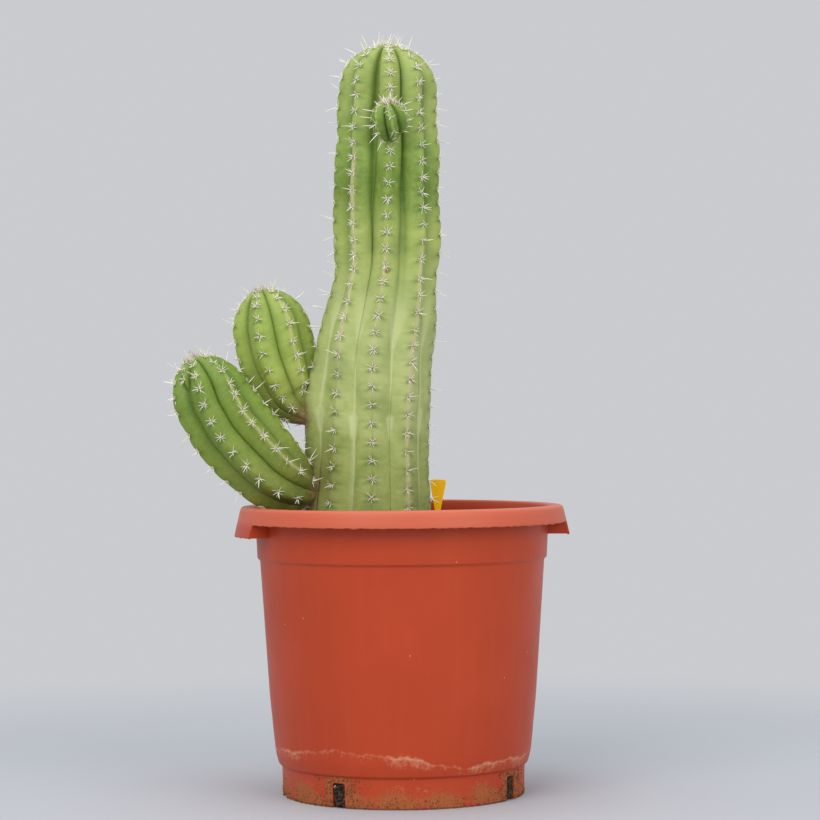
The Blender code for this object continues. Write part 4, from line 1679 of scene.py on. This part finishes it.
@dataclass
class SoilBed:
    """Potting mix in the pot, with grains on top and in the drain slots."""

    rings: int = 90
    columns: int = 240
    seed: int = 77
    stem: float = -0.0295  # the stem's middle, across, in metres
    clear: float = 0.058  # no grain lies nearer than this to it, in metres
    side: tuple = ((118, 3.6), (118.6, 30.5), (124.2, 43), (130.2, 99), (139.3, 233), (141.7, 237), (142, 242))

    def surface(self, x: np.ndarray, y: np.ndarray) -> np.ndarray:
        """Height of the soil: a low heap round the stem, hollows and crumbs as sums of sines.

        Args:
            x: places across, in metres.
            y: places in depth, in metres.

        Returns:
            Heights in metres.
        """
        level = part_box("soil")[1].z - 4 * MM
        away = np.hypot(x - self.stem, y)
        heap = 3.0 * bell(away, 0.085)
        rng = np.random.default_rng(self.seed)
        crumbs = np.zeros_like(x)
        for size, lift in ((55, 1.3), (24, 0.9), (11, 0.6), (5.5, 0.45)):
            for _ in range(5):
                heading = rng.uniform(0, FULL_TURN)
                wave = FULL_TURN / (size * MM) * rng.uniform(0.7, 1.4)
                across = x * math.cos(heading) + y * math.sin(heading)
                crumbs += lift / 2.2 * np.sin(wave * across + rng.uniform(0, 6.28))
        return level + (heap + crumbs) * MM

    def bed(self) -> Solid:
        """The soil as one closed body that fills the pot inside its wall.

        Returns:
            Rings up the side and in over the top.
        """
        turn = np.arange(self.columns) / self.columns * FULL_TURN
        around = round_axis(turn)[None]
        side = np.array(self.side) * MM
        radius, bottom = side[-1, 0], side[0, 1]
        side = finer(side, np.full(len(side) - 1, 6 * MM))
        lower = around * side[:, :1, None] + UP * side[:, 1:, None]
        share = np.linspace(1, 0, self.rings + 1)[1:-1, None]
        top = around * (share * radius)[..., None]
        top[..., 2] = self.surface(top[..., 0], top[..., 1])
        middle = UP * self.surface(np.zeros(1), np.zeros(1))
        return closed_skin(np.concatenate([lower, top]), UP * bottom, middle)

    def grains(self, places: np.ndarray, sizes: np.ndarray, seed: int) -> Solid:
        """Grains: squashed, turned octahedra with split faces, each with its own knobs.

        Args:
            places: where each grain lies.
            sizes: radii in metres.
            seed: picks their shapes.

        Returns:
            All the grains as one mesh.
        """
        rng = np.random.default_rng(seed)
        count = len(places)
        levels = np.array([-0.62, 0.0, 0.62])
        angle = np.arange(6) / 6 * FULL_TURN
        ring = np.stack([np.cos(angle), np.sin(angle)], -1)
        rows = [np.column_stack([ring * math.sqrt(1 - v * v), np.full(6, v)]) for v in levels]
        shape = np.concatenate(rows + [np.array([[0, 0, -1.0], [0, 0, 1.0]])])
        knobs = 1 + rng.uniform(-0.22, 0.22, (count, len(shape), 1))
        squash = rng.uniform(0.6, 1.1, (count, 1, 3))
        local = shape[None] * knobs * squash
        first, second = unit(rng.normal(size=(count, 3))), rng.normal(size=(count, 3))
        third = unit(np.cross(first, second))
        axes = np.stack([first, np.cross(third, first), third], axis=1)
        points = np.einsum("nij,njk->nik", local, axes) * sizes[:, None, None] + places[:, None]
        return repeated(points, closed_faces(len(levels), 6), {"tone": rng.uniform(0, 1, count)})

    def scatter(self, count: int, seed: int) -> np.ndarray:
        """Random places on the soil, clear of the stem.

        Args:
            count: how many places to try.
            seed: picks them.

        Returns:
            The places kept.
        """
        rng = np.random.default_rng(seed)
        reach = 139 * MM * np.sqrt(rng.uniform(0, 1, count))
        turn = rng.uniform(0, FULL_TURN, count)
        x, y = reach * np.sin(turn), -reach * np.cos(turn)
        clear = np.hypot(x - self.stem, y) > self.clear
        x, y = x[clear], y[clear]
        return np.column_stack([x, y, self.surface(x, y)])

    def in_slots(self, pot: NurseryPot, count: int, seed: int) -> np.ndarray:
        """Random places in the mouths of the drain slots.

        Args:
            pot: whose slots are filled.
            count: how many places for each slot.
            seed: picks them.

        Returns:
            The places, behind the wall's outer face.
        """
        rng = np.random.default_rng(seed)
        azimuth = np.radians(np.repeat(pot.slot_azimuths, count))
        many = len(azimuth)
        across = rng.uniform(-5.6, 5.6, many) * MM
        z = rng.uniform(2.5, 22.0, many) * MM
        reach = rng.uniform(116.5, 119.3, many) * MM
        places = round_axis(azimuth) * reach[:, None] + along_rim(azimuth) * across[:, None]
        places[:, 2] = z
        return places

    def on_foot(self, pot: NurseryPot, count: int, seed: int) -> np.ndarray:
        """Random places on the foot band, thickest low down and round the slots.

        Args:
            pot: whose foot is dirty.
            count: how many crumbs.
            seed: picks their places.

        Returns:
            The places, just outside the wall.
        """
        rng = np.random.default_rng(seed)
        by_slot = rng.uniform(size=count) < 0.55
        slot = rng.choice(pot.slot_azimuths, count) + rng.normal(0, 7, count)
        azimuth = np.radians(np.where(by_slot, slot, rng.uniform(-180, 180, count)))
        around_slot = rng.uniform(0.5, 29, count)
        settled = 0.4 + rng.gamma(1.2, 3.5, count).clip(0, 26)
        z = np.where(by_slot, around_slot, settled) * MM
        nearest = apart(np.degrees(azimuth)[:, None], np.array(pot.slot_azimuths)[None, :]).min(axis=1)
        off_slot = nearest * math.radians(1) * pot.foot_radius > pot.slot_width / 2
        keep = off_slot | (z > pot.slot_height * MM)
        places = round_axis(azimuth) * np.interp(z, [0, 0.03], [0.1201, 0.1214])[:, None]
        places[:, 2] = z
        return places[keep]

    def build(self, pot: NurseryPot) -> None:
        """Makes the bed, its crumbs, and the pumice on it and in the slots.

        Args:
            pot: whose slots hold soil.
        """
        rng = np.random.default_rng(self.seed + 1)
        make_piece("potting_mix", self.bed(), PottingMix().make(), ("soil",))
        peat = Grit("peat_and_bark_crumbs", light="#5b4230", dark="#20160f").make()
        stone = Grit("pumice_grit", light="#e4dfd2", dark="#9c9284").make()
        crumbs = np.concatenate([self.scatter(2600, 81), self.in_slots(pot, 90, 82)])
        sizes = rng.uniform(0.9, 2.6, len(crumbs)) * MM
        make_piece("peat_crumbs", self.grains(crumbs, sizes, 83), peat)
        specks = self.on_foot(pot, 2600, 87)
        sizes = rng.uniform(0.25, 1.0, len(specks)) * MM
        clay = Grit("dried_earth_specks", light="#b87245", dark="#5f3620").make()
        make_piece("earth_on_foot", self.grains(specks, sizes, 88), clay)
        chips = np.concatenate([self.scatter(700, 84), self.in_slots(pot, 1, 85)])
        sizes = rng.uniform(1.0, 3.2, len(chips)) * MM
        make_piece("pumice_chips", self.grains(chips, sizes, 86), stone)


@dataclass
class StickLabel:
    """Blank yellow label: a head with rounded corners, tapering sides and a pointed stake in the soil."""

    head_width: float = 16.0
    head_height: float = 4.0
    taper: float = 32.0  # height over which the head narrows to the stake
    stake_width: float = 4.0
    length: float = 110.0
    point: float = 12.0  # height of the stake's point
    corner: float = 2.0
    thickness: float = 0.9
    lean: float = 1.0  # degrees, the head towards +X
    curl: float = 1.0  # how far the head bends back, in mm
    around: int = 110

    def edge(self) -> np.ndarray:
        """Points round the outline, as (across, up) in mm, anticlockwise from the foot.

        Returns:
            Evenly spaced points with every corner of the outline among them.
        """
        half, stake = self.head_width / 2, self.stake_width / 2
        turn = np.linspace(0, math.pi / 2, 7)
        corner = [(half - self.corner * (1 - math.sin(t)), -self.corner * (1 - math.cos(t))) for t in turn]
        shoulder, foot = -self.head_height, -self.length
        side = [(half, shoulder), (stake, shoulder - self.taper), (stake, foot + self.point), (0.6, foot)]
        right = np.array((corner + side)[::-1])
        loop = np.concatenate([right, right[::-1] * (-1, 1), right[:1]])
        walked = np.concatenate([[0], np.cumsum(np.linalg.norm(np.diff(loop, axis=0), axis=1))])
        at = np.unique(np.round(np.concatenate([np.linspace(0, walked[-1], self.around), walked]), 6))[:-1]
        return np.column_stack([np.interp(at, walked, loop[:, k]) for k in (0, 1)])

    def sheet(self) -> Solid:
        """The label as rows that run round it: out over the front, round the edge and back over the rear.

        A row on a face is the outline drawn in to the middle line by a share of its width, and the arrises
        are rounded by a step of 0.2 mm.

        Returns:
            The closed solid.
        """
        edge = self.edge()
        spine = np.column_stack([np.zeros(len(edge)), np.clip(edge[:, 1], 3 - self.length, -3)])
        out = unit(edge - spine)
        half, arris = self.thickness / 2, 0.2
        faces = [spine + (edge - out * arris - spine) * share for share in np.linspace(0.02, 1, 7)]
        rows = [(flat, -half) for flat in faces] + [(edge, -half + arris), (edge, half - arris)]
        rows += [(flat, half) for flat in reversed(faces)]
        deep = [np.full(len(edge), depth) for _, depth in rows]
        grid = np.stack([np.column_stack([flat[:, 0], d, flat[:, 1]]) for (flat, _), d in zip(rows, deep)])
        rings, count = grid.shape[:2]
        lids = [list(range(count - 1, -1, -1)), list(range((rings - 1) * count, rings * count))]
        return Solid(self.placed(grid).reshape(-1, 3), ring_faces(rings, count) + lids, {})

    def placed(self, grid: np.ndarray) -> np.ndarray:
        """Bends the head back a little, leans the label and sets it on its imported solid.

        Args:
            grid: points as across, depth and up in mm, from the middle of the top edge.

        Returns:
            The points in place, in metres.
        """
        low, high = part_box("plant_label")
        lean = math.radians(self.lean)
        across, depth, up = np.moveaxis(grid, -1, 0)
        depth = depth + self.curl * (ramp(up, -30, 0) - 0.5)
        x = across * math.cos(lean) + up * math.sin(lean)
        z = up * math.cos(lean) - across * math.sin(lean)
        turned = np.stack([x, depth, z], -1) * MM
        highest, furthest = turned[..., 2].max(), turned[..., 0].max()
        return turned + np.array([high.x - furthest, (low.y + high.y) / 2, high.z - highest])

    def build(self) -> None:
        """Makes the label."""
        plastic = LabelPlastic().make()
        piece = make_piece("stick_label", self.sheet(), plastic, ("plant_label",))
        piece.data.set_sharp_from_angle(angle=math.radians(40))


# ---- studio ----------------------------------------------------------------------------------
@dataclass
class Studio:
    """Pale floor, soft light and the camera in front of the plant."""

    camera_place: tuple = (0.009, -2.6, 0.382)
    roll: float = 0.4  # degrees
    field_at_axis: float = 0.820  # width of view at the pot's axis, in metres
    sensor: float = 36.0
    floor_radius: float = 1.3
    sky: str = "#d0d2d6"
    sky_strength: float = 0.93

    def soft_box(self, name: str, place: tuple, size: float, watts: float, colour: str) -> None:
        """Adds a square area light aimed at the middle of the plant.

        Args:
            name: the light's name.
            place: where it stands, in metres.
            size: its side in metres.
            watts: its power.
            colour: its tint.
        """
        data = bpy.data.lights.new(name, "AREA")
        data.size = size
        data.energy = watts
        data.color = linear(colour)[:3]
        lamp = bpy.data.objects.new(name, data)
        lamp.location = place
        aim = Vector((0, 0, 0.38)) - Vector(place)
        lamp.rotation_euler = aim.to_track_quat("-Z", "Y").to_euler()
        bpy.context.scene.collection.objects.link(lamp)

    def floor(self) -> None:
        """Lays the floor, a disc whose paint thins out before its edge."""
        turn = np.arange(96) / 96 * FULL_TURN
        ring = round_axis(turn)
        mesh = bpy.data.meshes.new("floor")
        mesh.from_pydata((ring * self.floor_radius).tolist(), [], [list(range(96))])
        mesh.materials.append(StudioPaint().make())
        disc = bpy.data.objects.new("floor", mesh)
        bpy.context.scene.collection.objects.link(disc)

    def camera(self) -> None:
        """Sets the camera level at the height of the plant's middle, with a slight roll."""
        data = bpy.data.cameras.new("camera")
        data.sensor_width = self.sensor
        data.lens = self.sensor * -self.camera_place[1] / self.field_at_axis
        eye = bpy.data.objects.new("camera", data)
        eye.location = self.camera_place
        eye.rotation_euler = (math.radians(90), math.radians(self.roll), 0)
        bpy.context.scene.collection.objects.link(eye)
        bpy.context.scene.camera = eye

    def build(self) -> None:
        """Sets up the whole studio."""
        world = bpy.data.worlds.new("studio")
        world.use_nodes = True
        sky = world.node_tree.nodes["Background"]
        sky.inputs["Color"].default_value = linear(self.sky)
        sky.inputs["Strength"].default_value = self.sky_strength
        bpy.context.scene.world = world
        bpy.context.scene.view_settings.view_transform = "Standard"
        self.floor()
        self.camera()
        self.soft_box("key", (-1.2, -2.4, 2.1), 2.0, 44, "#fffaf2")
        self.soft_box("fill", (1.9, -2.4, 1.5), 2.0, 31, "#fffcf8")
        self.soft_box("top", (-0.2, -0.1, 2.8), 1.6, 18, "#ffffff")
        log.info("studio: floor, camera and three soft lights")


def main() -> None:
    """Builds the studio and every piece of the object in order."""
    logging.basicConfig(level=logging.INFO, format="%(name)s %(message)s")
    Studio().build()
    pot = NurseryPot()
    pot.build()
    SoilBed().build(pot)
    StickLabel().build()
    Plant().build()


if __name__ == "__main__":
    main()
